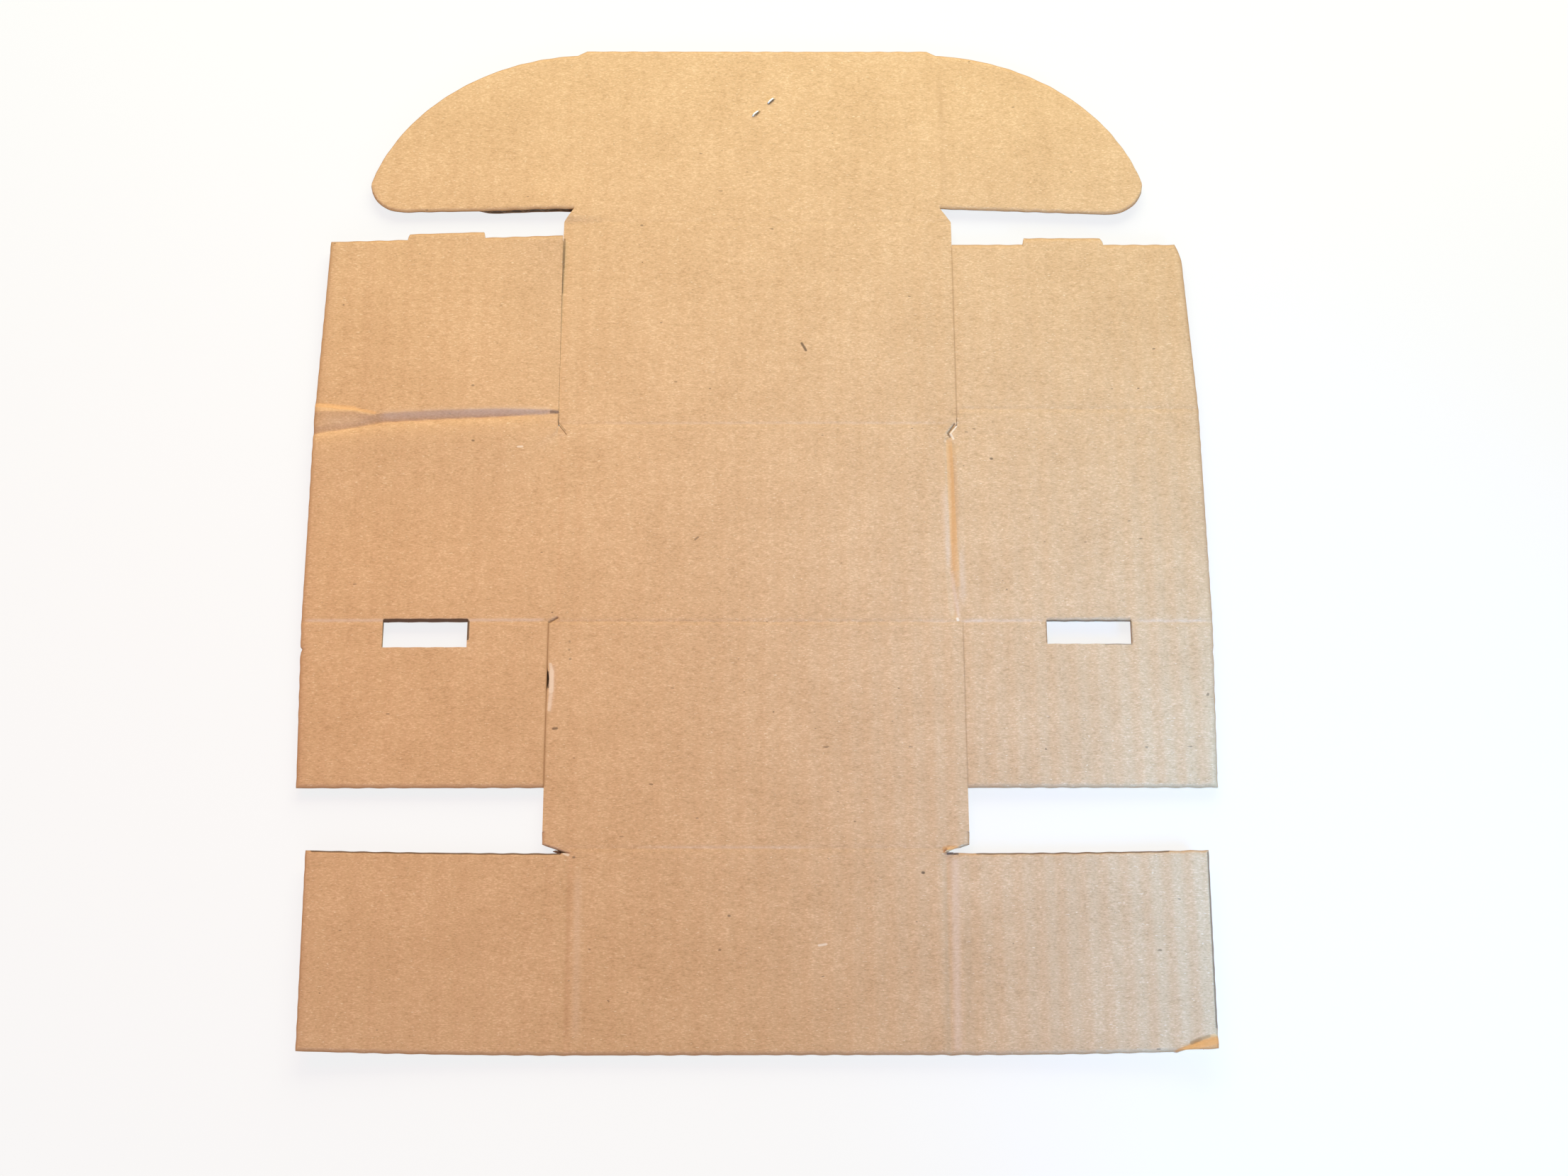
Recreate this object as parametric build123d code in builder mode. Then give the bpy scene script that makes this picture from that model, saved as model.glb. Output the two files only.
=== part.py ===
from build123d import *
import math
import os

# A die-cut corrugated mailing box, opened out flat with its inside face up.
# Lengths are millimetres. +X is right, +Y runs from the front wall to the lid, +Z is up.
# The flutes run along Y, and every crease folds upwards.

# Corrugated board
board = 4.0
liner = 0.4
medium = 0.4
flute_pitch = 7.5
flute_half_shares = (0.06, 0.17, 0.33, 0.44)
flute_rise_shares = (0.0, 0.18, 0.82, 1.0)
edge_wall = 0.8
crease_band = 4.0

# Creases and cuts
score_depth = 1.2
score_half_width = 1.3
cut_gap = 0.7
overrun = 5.0

# Walls: back, two sides, bottom and front
back_width = 147.0
back_height = 89.0
side_length = 93.0
side_drop = 5.0
bottom_width = 150.6
bottom_depth = 96.0
front_width = 133.6
front_height = 82.0
front_notch_rise = 2.0
relief_length = 2.0

# Lid, tuck flap and ears
lid_width = 150.6
lid_depth = 96.5
tuck_width = 142.0
tuck_height = 86.5
tuck_top_inset = 3.4
tuck_top_step = 2.0
ear_rise = 6.2
ear_droop = 2.0
ear_reach_share = 1.013
ear_radius_share = 1.124
ear_arc_inset_share = 0.0715
ear_tip_share = 0.128

# Rolled top edges and inner side flaps
roll_width = 12.0
inner_flap_height = 78.6
inner_flap_taper = 3.0
inner_corner_radius = 3.0
tab_width = 29.6
tab_height = 3.2
tab_slant = 1.2
tab_side_gap = 0.7

# Bottom flaps with tab slots, and front corner flaps
slot_offset = 46.7
slot_depth = 10.6
bottom_flap_length = 70.6
bottom_flap_taper = 2.0
corner_flap_clearance = 0.3
corner_flap_drop = 1.8
corner_flap_taper = 1.0

# Wire staple through the tuck flap
wire = 0.6
staple_crown = 13.0
staple_clinch = 4.0
staple_bend_radius = 0.5
staple_fit = 0.1
staple_x = 2.8
staple_below_top = 28.6
staple_turn_deg = 48.0

# Lines across the sheet, from the tuck flap's edge down to the front wall's edge
sheet_length = tuck_height + lid_depth + back_height + bottom_depth + front_height
y_top = sheet_length / 2
y_tuck = y_top - tuck_height
y_lid = y_tuck - lid_depth
y_bottom = y_lid - back_height
y_front = y_bottom - bottom_depth
y_end = y_front - front_height
y_roll_low = y_lid - side_drop
y_roll_high = y_roll_low + roll_width
y_inner_top = y_roll_high + inner_flap_height
y_bottom_flap_end = y_bottom - bottom_flap_length
y_corner_top = y_front - corner_flap_drop
y_ear_low = y_tuck + ear_rise
y_ear_high = y_top - tuck_top_step
ear_height = y_ear_high - y_ear_low
ear_reach = ear_reach_share * ear_height
ear_radius = ear_radius_share * ear_height
ear_arc_inset = ear_arc_inset_share * ear_height
ear_tip_radius = ear_tip_share * ear_height

# Lines along the sheet, measured from its middle
x_back = back_width / 2
x_side = x_back + side_length
x_lid = lid_width / 2
x_flap = x_lid + cut_gap
x_bottom = bottom_width / 2
x_bottom_flap = x_bottom + cut_gap
x_front = front_width / 2
x_corner = x_front + side_length - corner_flap_clearance
x_ear = tuck_width / 2
x_tuck_top = x_ear - tuck_top_inset
x_slot = x_back + slot_offset
roll_length = x_side - x_lid
tab_half = tab_width / 2
slot_half = tab_half + tab_side_gap


def flute_section(x_low, x_high, y_start):
    """All the open flutes between two edges, as one section that faces the front wall."""
    clear_height = board - 2 * liner - medium
    right = [
        (half * flute_pitch, liner + medium + rise * clear_height)
        for half, rise in zip(flute_half_shares, flute_rise_shares)
    ]
    valley = [(-x, z) for x, z in reversed(right)] + right
    crest = [(x, board - z) for x, z in valley]
    margin = flute_half_shares[-1] * flute_pitch + edge_wall
    first = math.ceil(2 * (x_low + margin) / flute_pitch)
    last = math.floor(2 * (x_high - margin) / flute_pitch)
    places = [(step * flute_pitch / 2, 0) for step in range(first, last + 1)]
    with BuildSketch(Plane.XZ.offset(-y_start)) as section:
        with Locations(*places[first % 2 :: 2]):
            Polygon(*valley, align=None)
        with Locations(*places[1 - first % 2 :: 2]):
            Polygon(*crest, align=None)
    return section.sketch


def score_section(plane, place):
    """The V of a crease on a plane that it crosses, with its foot at a place along that plane."""
    with BuildSketch(plane) as section:
        Polygon(
            (place - score_half_width, board),
            (place, board - score_depth),
            (place + score_half_width, board),
            align=None,
        )
    return section.sketch


def score_across(y, x_start, length):
    """Scores a crease along X into the piece that is being made."""
    extrude(score_section(Plane.YZ.offset(x_start), y), amount=length, mode=Mode.SUBTRACT)


def score_along(x, y_start, length):
    """Scores a crease along Y into the piece that is being made, towards the front wall."""
    extrude(score_section(Plane.XZ.offset(-y_start), x), amount=length, mode=Mode.SUBTRACT)


def staple_profile(fit):
    """The bent wire seen from its side, grown by a fit: crown, two legs and clinched tips."""
    turn = math.radians(staple_turn_deg)
    side_on = Plane(
        origin=(staple_x, y_top - staple_below_top, 0),
        x_dir=(math.cos(turn), math.sin(turn), 0),
        z_dir=(math.sin(turn), -math.cos(turn), 0),
    )
    half = staple_crown / 2
    with BuildSketch(side_on) as profile:
        with Locations((0, wire / 2)):
            Rectangle(staple_crown, wire)
        for side in (-1, 1):
            with Locations((side * (half - wire / 2), (board + wire) / 2)):
                Rectangle(wire, board + wire)
            with Locations((side * (half - staple_clinch / 2), board + wire / 2)):
                Rectangle(staple_clinch, wire)
        ends = profile.vertices().group_by(Axis.X)
        fillet(ends[0] + ends[-1], radius=staple_bend_radius)
        if fit:
            offset(amount=fit)
    return profile.sketch


# Wall sheet: the back, sides, bottom and front in one piece, with scored creases between them
with BuildPart() as wall_sheet:
    with BuildSketch():
        with BuildLine():
            Polyline(
                (0, y_lid),
                (x_lid - cut_gap, y_lid),
                (x_back - relief_length, y_roll_low),
                (x_lid, y_lid - cut_gap),
                (x_lid, y_roll_low),
                (x_side, y_roll_low),
                (x_side, y_bottom),
                (x_bottom_flap, y_bottom),
                (x_back, y_bottom + relief_length),
                (x_bottom, y_bottom),
                (x_bottom, y_front + front_notch_rise),
                (x_front, y_corner_top),
                (x_front, y_end),
                (0, y_end),
                close=True,
            )
        make_face()
        mirror(about=Plane.YZ)
    extrude(amount=board)
    x_fluted = x_front - score_half_width
    extrude(
        flute_section(-x_fluted, x_fluted, y_front - crease_band),
        amount=front_height,
        mode=Mode.SUBTRACT,
    )
    score_across(y_lid, -x_lid, lid_width)
    score_across(y_bottom, -x_side, 2 * x_side)
    score_across(y_front, -x_bottom, bottom_width)
    for side in (-1, 1):
        score_across(y_roll_low, side * (x_lid + x_side) / 2 - roll_length / 2, roll_length)
        score_along(side * x_back, y_roll_low, y_roll_low - y_bottom)
        score_along(side * x_front, y_corner_top, front_height)

# Lid: a plain panel, creased to the back wall and to the tuck flap
with BuildPart() as lid_panel:
    with BuildSketch():
        with Locations((0, (y_lid + y_tuck) / 2)):
            Rectangle(lid_width, lid_depth)
    extrude(amount=board)
    score_across(y_lid, -x_lid, lid_width)
    score_across(y_tuck, -x_lid, lid_width)

# Tuck flap: cut back at its foot and at its top, where the ears begin
with BuildPart() as tuck_flap:
    with BuildSketch():
        with BuildLine():
            Polyline(
                (0, y_tuck),
                (x_lid, y_tuck),
                (x_ear, y_ear_low),
                (x_ear, y_ear_high),
                (x_tuck_top, y_top),
                (0, y_top),
                close=True,
            )
        make_face()
        mirror(about=Plane.YZ)
    extrude(amount=board)
    x_fluted = x_ear - score_half_width
    extrude(
        flute_section(-x_fluted, x_fluted, y_top + overrun),
        amount=tuck_height + overrun - crease_band,
        mode=Mode.SUBTRACT,
    )
    score_across(y_tuck, -x_lid, lid_width)
    for side in (-1, 1):
        score_along(side * x_ear, y_top, tuck_height)
    extrude(staple_profile(staple_fit), amount=wire / 2 + staple_fit, both=True, mode=Mode.SUBTRACT)

# Wire staple: its crown is pressed flush into the outer face of the tuck flap
with BuildPart() as staple:
    extrude(staple_profile(0), amount=wire / 2, both=True)

# Right ear: a wide arc from the tuck flap's top to a rounded tip, with a straight lower edge
with BuildPart() as tuck_ear_right:
    with BuildSketch() as ear_outline:
        with Locations((x_ear - ear_arc_inset, y_ear_high - ear_radius)):
            Circle(ear_radius)
        with BuildLine():
            Polyline(
                (x_ear, y_ear_low),
                (x_ear + ear_reach, y_ear_low - ear_droop),
                (x_ear + ear_reach, y_top),
                (x_ear, y_top),
                close=True,
            )
        make_face(mode=Mode.INTERSECT)
        tip = ear_outline.vertices().group_by(Axis.X)[-1].sort_by(Axis.Y)[0]
        fillet(tip, radius=ear_tip_radius)
    extrude(amount=board)
    extrude(
        flute_section(x_ear + score_half_width, x_ear + ear_reach, y_top + overrun),
        amount=tuck_height + overrun,
        mode=Mode.SUBTRACT,
    )
    score_along(x_ear, y_top, tuck_height)

# Right rolled edge: the strip between two creases that turns over the side wall's top
with BuildPart() as roll_edge_right:
    with BuildSketch():
        with Locations(((x_flap + x_side) / 2, (y_roll_low + y_roll_high) / 2)):
            Rectangle(x_side - x_flap, roll_width)
    extrude(amount=board)
    score_across(y_roll_low, x_lid, roll_length)
    score_across(y_roll_high, x_lid, roll_length)

# Right inner flap: tapered, with a locking tab on its free edge
with BuildPart() as inner_flap_right:
    with BuildSketch() as inner_outline:
        with BuildLine():
            Polyline(
                (x_flap, y_roll_high),
                (x_flap, y_inner_top),
                (x_slot - tab_half - tab_slant, y_inner_top),
                (x_slot - tab_half, y_inner_top + tab_height),
                (x_slot + tab_half, y_inner_top + tab_height),
                (x_slot + tab_half + tab_slant, y_inner_top),
                (x_side - inner_flap_taper, y_inner_top),
                (x_side, y_roll_high),
                close=True,
            )
        make_face()
        corner = inner_outline.vertices().group_by(Axis.Y)[-2].sort_by(Axis.X)[-1]
        fillet(corner, radius=inner_corner_radius)
    extrude(amount=board)
    extrude(
        flute_section(x_flap, x_side - inner_flap_taper, y_inner_top + tab_height + overrun),
        amount=inner_flap_height + tab_height + overrun - crease_band,
        mode=Mode.SUBTRACT,
    )
    score_across(y_roll_high, x_lid, roll_length)

# Right bottom flap: its slot opens at the crease, below the side wall
with BuildPart() as bottom_flap_right:
    with BuildSketch():
        with BuildLine():
            Polyline(
                (x_bottom_flap, y_bottom),
                (x_slot - slot_half, y_bottom),
                (x_slot - slot_half, y_bottom - slot_depth),
                (x_slot + slot_half, y_bottom - slot_depth),
                (x_slot + slot_half, y_bottom),
                (x_side, y_bottom),
                (x_side - bottom_flap_taper, y_bottom_flap_end),
                (x_bottom_flap, y_bottom_flap_end),
                close=True,
            )
        make_face()
    extrude(amount=board)
    extrude(
        flute_section(x_bottom_flap, x_side - bottom_flap_taper, y_bottom - slot_depth - crease_band),
        amount=bottom_flap_length,
        mode=Mode.SUBTRACT,
    )
    score_across(y_bottom, x_back, side_length)

# Right corner flap: folds round behind the side wall from the front wall's end
with BuildPart() as corner_flap_right:
    with BuildSketch():
        with BuildLine():
            Polyline(
                (x_front, y_corner_top),
                (x_corner, y_corner_top),
                (x_corner - corner_flap_taper, y_end),
                (x_front, y_end),
                close=True,
            )
        make_face()
    extrude(amount=board)
    extrude(
        flute_section(x_front + score_half_width, x_corner - corner_flap_taper, y_corner_top + overrun),
        amount=front_height + 2 * overrun,
        mode=Mode.SUBTRACT,
    )
    score_along(x_front, y_corner_top, front_height)

pieces = {
    "wall_sheet": wall_sheet,
    "lid_panel": lid_panel,
    "tuck_flap": tuck_flap,
    "staple": staple,
}
paired = {
    "tuck_ear": tuck_ear_right,
    "roll_edge": roll_edge_right,
    "inner_flap": inner_flap_right,
    "bottom_flap": bottom_flap_right,
    "corner_flap": corner_flap_right,
}

# The left pieces are the right ones mirrored
for name, right_piece in paired.items():
    with BuildPart() as left_piece:
        mirror(right_piece.part, about=Plane.YZ)
    pieces[f"{name}_left"] = left_piece
    pieces[f"{name}_right"] = right_piece

os.makedirs("parts", exist_ok=True)
for name, piece in pieces.items():
    piece.part.label = name
    export_step(piece.part, f"parts/{name}.step")
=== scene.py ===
import logging
import math
from dataclasses import dataclass, field, replace
from enum import Enum
from functools import cached_property, partial
from typing import Callable, Optional, Sequence

import bpy
import numpy as np
from mathutils import Matrix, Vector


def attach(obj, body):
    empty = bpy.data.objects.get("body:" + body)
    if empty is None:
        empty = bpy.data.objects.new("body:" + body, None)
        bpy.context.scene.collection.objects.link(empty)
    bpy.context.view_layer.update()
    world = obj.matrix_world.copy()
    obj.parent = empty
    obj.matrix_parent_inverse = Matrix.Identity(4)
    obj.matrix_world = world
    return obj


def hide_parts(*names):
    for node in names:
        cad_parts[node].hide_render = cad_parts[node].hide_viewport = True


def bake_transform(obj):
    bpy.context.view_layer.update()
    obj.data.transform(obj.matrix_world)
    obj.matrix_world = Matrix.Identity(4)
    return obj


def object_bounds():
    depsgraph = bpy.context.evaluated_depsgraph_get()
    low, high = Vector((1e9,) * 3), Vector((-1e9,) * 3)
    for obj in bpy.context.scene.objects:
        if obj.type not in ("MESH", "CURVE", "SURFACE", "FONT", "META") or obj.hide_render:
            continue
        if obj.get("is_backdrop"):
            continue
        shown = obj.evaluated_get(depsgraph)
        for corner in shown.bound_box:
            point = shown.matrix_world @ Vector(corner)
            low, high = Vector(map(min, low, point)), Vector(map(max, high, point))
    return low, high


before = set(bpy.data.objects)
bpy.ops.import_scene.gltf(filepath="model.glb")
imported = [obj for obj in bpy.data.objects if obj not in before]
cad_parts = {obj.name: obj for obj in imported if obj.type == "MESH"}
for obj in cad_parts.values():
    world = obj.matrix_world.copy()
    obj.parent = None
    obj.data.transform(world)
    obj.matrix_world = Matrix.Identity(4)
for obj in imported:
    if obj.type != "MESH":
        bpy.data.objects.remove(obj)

log = logging.getLogger("opened_box")
Array = np.ndarray
Curve = Callable[[Array], Array]
Pair = tuple[float, float]
Triple = tuple[float, float, float]
Colour = tuple[float, float, float, float]
Material = bpy.types.Material
Object = bpy.types.Object
Socket = bpy.types.NodeSocket
Inputs = dict[int | str, object]

MM = 0.001
# A length too small to see, and one larger than any that matters beside a cut edge, in millimetres
HAIR = 0.01
FAR_OFF = 99.0
# How far a taper or a rise runs on past its end, as a share of its length
RUN_ON = 1.1
# Share of a cut edge's slant by which each paper stands back, from the inside paper down
STAND_BACK = (0.0, 0.9, 1.1)
# Slant of the cut edges that have none of their own, in millimetres
PLAIN_SLANT = 0.5
# Distance of the first grid line from an end, the least gap to the next line, and the least span that
# has room for such a line at both ends, in millimetres
RIM = 0.5
RIM_GAP = 0.12
RIM_SPAN = 2.4 * RIM
# Share of a lamp's direction along Y from which its X axis is taken square to Z and not to Y
STEEP = 0.9


class Side(Enum):
    """The side of the sheet, with its sign along X."""

    LEFT = -1
    RIGHT = 1

    @property
    def tail(self) -> str:
        """The ending that this side's CAD names carry."""
        return self.name.lower()

    def own(self, pair: Pair) -> float:
        """This side's number out of a left and right pair."""
        return pair[self is Side.RIGHT]


class Layer(Enum):
    """The three papers of single wall board, with their material index."""

    INSIDE = 0
    FLUTES = 1
    OUTSIDE = 2


class Edge(Enum):
    """An edge of a patch of the plan, as it lies in front of the viewer."""

    LEFT = "left"
    RIGHT = "right"
    NEAR = "near"
    FAR = "far"


def share(value: Array, start: float, end: float) -> Array:
    """Straight step: 0 before start, 1 after end, and even between them."""
    return np.clip((value - start) / (end - start), 0.0, 1.0)


def ramp(value: Array, start: float, end: float) -> Array:
    """Smooth step 3t^2 - 2t^3, with t the straight step from start to end."""
    t = share(value, start, end)
    return t * t * (3.0 - 2.0 * t)


def bell(value: Array, centre: float, width: float) -> Array:
    """Bell curve exp(-((value - centre) / width)^2), which is 1 at its centre."""
    return np.exp(-(((value - centre) / width) ** 2))


def sway(along: Array, across: Array, rates: Triple) -> Array:
    """Waver sin(a * along + b * sin(c * across)), with a, b and c the three rates."""
    a, b, c = rates
    return np.sin(a * along + b * np.sin(c * across))


def stand(name: str, data: bpy.types.ID) -> Object:
    """Puts new data into the scene.

    Args:
        name: the object's name.
        data: a mesh, a lamp or a camera.

    Returns:
        The object, at the origin.
    """
    thing = bpy.data.objects.new(name, data)
    bpy.context.scene.collection.objects.link(thing)
    return thing


@dataclass(frozen=True)
class Plan:
    """Creases and cuts of the flat sheet, in millimetres: left then right where the two sides differ."""

    x_side: float = 166.5
    x_front: float = 66.8
    y_tuck: float = 138.5
    y_inner: float = 49.0
    y_lid: float = 42.0
    y_roll: float = 37.0
    y_bottom: float = -47.0
    y_corner: float = -144.8
    y_end: float = -225.0
    slot: Pair = (105.8, 136.7)
    lid_cut: Pair = (74.75, 75.2)
    bottom_cut: Pair = (76.2, 75.2)
    gap: float = 0.05
    half_crease: float = 2.5


@dataclass(frozen=True)
class Nick:
    """A fine line or speck on the inside face, full within a core share of its width, in millimetres."""

    start: Pair
    end: Pair
    width: float
    strength: float
    core: float = 0.3


def nicks(*rows: tuple[float, ...]) -> tuple[Nick, ...]:
    """Nicks from rows of start x and y, end x and y, width, strength and, if need be, core."""
    return tuple(Nick(row[:2], row[2:4], *row[4:]) for row in rows)


@dataclass(frozen=True)
class Stroke:
    """A line on the sheet, in millimetres, along which the paper is marked or pressed."""

    width: float
    strength: float
    fade: float
    path: tuple[Pair, ...]

    def weight(self, x: Array, y: Array) -> Array:
        """Bell across the nearest segment of the path, faded at both ends of the path.

        Args:
            x: places along X.
            y: places along Y.

        Returns:
            The strength at each place.
        """
        points = np.array(self.path)
        total = np.zeros_like(x)
        steps = np.hypot(*np.diff(points, axis=0).T)
        starts = np.concatenate(([0.0], np.cumsum(steps)))
        for (ax, ay), (bx, by), start, length in zip(points[:-1], points[1:], starts, steps):
            along = ((x - ax) * (bx - ax) + (y - ay) * (by - ay)) / length
            held = np.clip(along, 0.0, length)
            gap = np.hypot(x - ax - held * (bx - ax) / length, y - ay - held * (by - ay) / length)
            place = start + held
            ends = np.minimum(place, starts[-1] - place)
            total = np.maximum(total, bell(gap, 0.0, self.width) * ramp(ends, -HAIR, self.fade))
        return self.strength * total


def strokes(*rows: tuple[float, ...]) -> tuple[Stroke, ...]:
    """Strokes from rows of width, strength, fade and then x and y of each point of the path."""
    return tuple(Stroke(*row[:3], tuple(zip(row[3::2], row[4::2]))) for row in rows)


@dataclass(frozen=True)
class Lie:
    """How the used sheet lies: its lifts, pressed lines and marks over the plan, in millimetres."""

    ripple: float = 0.1
    ripple_run: Pair = (29.0, 41.0)
    ripple_start: Pair = (0.7, 0.3)
    curl: Pair = (2.2, 3.2)
    curl_root: Pair = (-130.0, -143.0)
    curl_x: Pair = (66.8, 159.5)
    curl_y: Pair = (-144.8, -225.0)
    tent: float = 0.8
    tent_place: Pair = (-80.0, 143.0)
    tent_width: Pair = (16.0, 14.0)
    tent_foot: Pair = (137.0, 142.0)
    tent_end: float = -60.0
    flap_rise: Pair = (1.0, 3.4)
    flap_run: float = 74.0
    flap_end: float = 134.0
    cut_left: float = -74.77
    cut_soft: Pair = (0.02, 9.0)
    cut_fade: Pair = (30.0, 40.5)
    buckle_x: tuple[float, ...] = (-166.5, -151.0, -145.0, -141.0, -118.0, -98.0, -74.8)
    buckle_y: tuple[tuple[float, ...], ...] = (
        (37.3, 40.2, 41.7, 42.7, 44.3, 45.3, 47.1),
        (40.0, 42.2, 43.3, 44.4, 45.7, 46.5, 47.6),
        (46.6, 46.7, 44.5, 45.7, 47.0, 47.7, 48.2),
        (51.4, 48.4, 46.2, 47.5, 48.5, 49.2, 49.5),
        (54.0, 54.0, 54.0, 54.0, 54.0, 54.0, 54.0),
    )
    buckle_z: tuple[tuple[float, ...], ...] = (
        (0.0, 0.0, 0.0, 0.0, 0.0, 0.0, 0.0),
        (0.9, 0.8, 0.9, 1.05, 0.95, 0.9, 0.4),
        (2.0, 1.8, 1.7, 1.8, 1.9, 1.8, 0.75),
        (0.4, 1.0, 1.6, 1.85, 2.0, 1.9, 0.6),
        (0.3, 0.9, 1.5, 1.8, 2.0, 1.95, 0.4),
    )
    ridge: float = 1.7
    ridge_foot: float = 3.0
    ridge_reach: float = 28.0
    ridge_least: float = 0.3
    ridge_full: Pair = (-75.0, -97.0)
    presses: tuple[Stroke, ...] = strokes(
        (0.9, 0.1, 0.1, -80.0, 42.0, 80.0, 42.0), (0.9, 0.06, 0.1, -80.0, 138.5, 80.0, 138.5),
        (0.9, 0.08, 0.1, -71.0, 143.0, -71.0, 226.0), (0.9, 0.08, 0.1, 71.0, 143.0, 71.0, 226.0),
        (0.8, 0.14, 0.1, -170.0, -47.0, 170.0, -47.0), (0.9, 0.12, 0.1, -72.0, -143.0, 72.0, -143.0),
        (0.9, 0.1, 0.1, -73.5, -47.0, -73.5, 37.0),
        (1.2, 0.5, 4.0, 71.4, 37.0, 71.9, 20.0, 72.0, 5.0, 71.5, -12.0, 71.0, -27.0, 72.6, -47.0),
        (0.9, 0.14, 0.1, 76.0, 49.0, 170.0, 49.0), (0.9, 0.05, 0.1, 76.0, 37.0, 170.0, 37.0),
        (1.0, 0.14, 0.1, -66.8, -143.0, -66.8, -226.0), (1.0, 0.2, 0.1, 66.8, -143.0, 66.8, -226.0),
        (0.5, 0.6, 0.2, -76.2, -47.2, -72.8, -45.1), (0.5, 0.5, 0.3, 74.4, 42.2, 71.6, 37.6, 72.9, 35.5),
    )
    lumps: tuple[Stroke, ...] = strokes(
        (0.9, 1.3, 0.6, 66.3, -144.2, 71.3, -143.5),
        (1.7, 0.4, 8.0, 74.4, 34.0, 75.0, 15.0, 75.0, 0.0, 74.4, -20.0, 74.6, -40.0),
    )
    # Marks on the colour: painted highlights and painted shade along the cuts, the creases and both buckles,
    # and a pale torn liner
    marks: tuple[Stroke, ...] = strokes(
        (0.32, -0.4, 0.1, 75.22, 43.0, 75.22, 127.6), (0.4, -0.9, 0.1, -76.22, -47.5, -76.22, -117.6),
        (0.32, -0.3, 0.1, 75.22, -47.5, 75.22, -117.6),
        (1.5, -0.2, 6.0, 72.3, 35.0, 72.8, 9.0, 73.2, -12.0, 73.6, -27.0),
        (1.2, 0.4, 8.0, 69.8, 16.0, 70.0, 0.0, 70.3, -12.0, 70.8, -25.0),
        (1.3, 0.32, 8.0, 75.2, -12.0, 75.7, -42.0), (0.55, 0.75, 2.0, 71.6, -26.5, 73.9, -46.0),
        (0.7, 0.7, 3.0, 74.0, -46.9, 84.0, -46.5), (0.6, 0.4, 6.0, 80.0, -46.6, 104.0, -46.6),
        (0.5, 0.3, 6.0, 58.0, -46.9, 73.5, -46.9), (0.6, 0.4, 6.0, 137.0, -46.7, 166.0, -46.7),
        (0.6, 0.75, 3.0, -166.0, -46.4, -77.0, -46.2), (1.3, -0.22, 12.0, 72.2, 218.0, 72.5, 182.0),
        (1.2, -0.14, 6.0, 72.5, 196.0, 72.8, 147.0), (0.5, 0.28, 16.0, -62.0, 42.4, 73.0, 42.4),
        (0.5, 0.42, 14.0, -46.0, -142.4, 24.0, -142.6), (1.5, 0.5, 3.0, 69.9, -145.5, 69.0, -225.0),
        (2.2, -0.14, 20.0, 73.4, -160.0, 72.8, -224.0), (1.0, -0.2, 12.0, 66.6, -147.0, 66.0, -224.0),
        (1.4, 0.26, 12.0, -63.4, -148.0, -62.6, -224.0), (1.1, -0.18, 12.0, -66.6, -148.0, -66.0, -224.0),
        (0.95, 0.6, 2.5, -75.0, -64.8, -74.3, -67.0, -74.2, -73.0, -74.6, -80.0, -75.2, -87.0),
        (0.4, 0.25, 8.0, -114.0, 47.1, -84.0, 48.0),
        (1.6, 0.5, 4.0, -143.0, 44.6, -118.0, 46.1, -98.0, 46.9, -76.0, 48.0),
        (2.6, 0.2, 6.0, -165.0, 42.0, -143.0, 43.6),
    )
    # Painted warm light and shade: lit faces and shaded bands of both buckles, the turned-up corner's lit
    # face and crease shadow, a bent-up bit at the right notch
    warm_light_and_shade_nicks: tuple[Nick, ...] = nicks(
        (-165.5, 50.3, -152.0, 48.4, 1.5, 0.35, 0.6), (-152.0, 48.4, -144.0, 46.0, 0.9, 0.35, 0.6),
        (149.5, -222.0, 157.5, -219.4, 1.0, 0.6, 0.6), (148.0, -224.6, 158.0, -222.0, 1.9, 0.4, 0.7),
        (72.0, 34.0, 72.3, 9.0, 1.4, 0.4, 0.7), (72.3, 9.0, 72.8, -12.0, 1.45, 0.4, 0.7),
        (72.8, -12.0, 73.4, -24.0, 1.4, 0.35, 0.6), (73.4, -24.0, 73.9, -31.0, 1.2, 0.2, 0.4),
        (66.4, -144.4, 69.6, -143.9, 0.7, 0.6, 0.6),
    )
    pale_nicks: tuple[Nick, ...] = nicks(
        (75.0, 41.2, 72.7, 37.6, 0.55, 0.75), (72.7, 37.6, 73.7, 35.2, 0.6, 0.75),
        (-75.1, -65.4, -74.6, -68.5, 0.7, 0.5, 0.6), (-74.6, -68.5, -74.5, -77.0, 1.0, 0.6, 0.7),
        (-74.5, -77.0, -75.1, -85.0, 0.8, 0.35, 0.5), (21.6, -182.2, 24.0, -181.8, 0.7, 0.75),
        (-89.6, 30.9, -88.0, 31.0, 0.6, 0.75), (73.2, -45.6, 73.4, -46.2, 0.8, 0.85),
        (-68.2, -145.0, -66.9, -145.5, 0.8, 0.8), (67.4, -144.8, 70.2, -144.6, 0.35, 0.7),
    )
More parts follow.
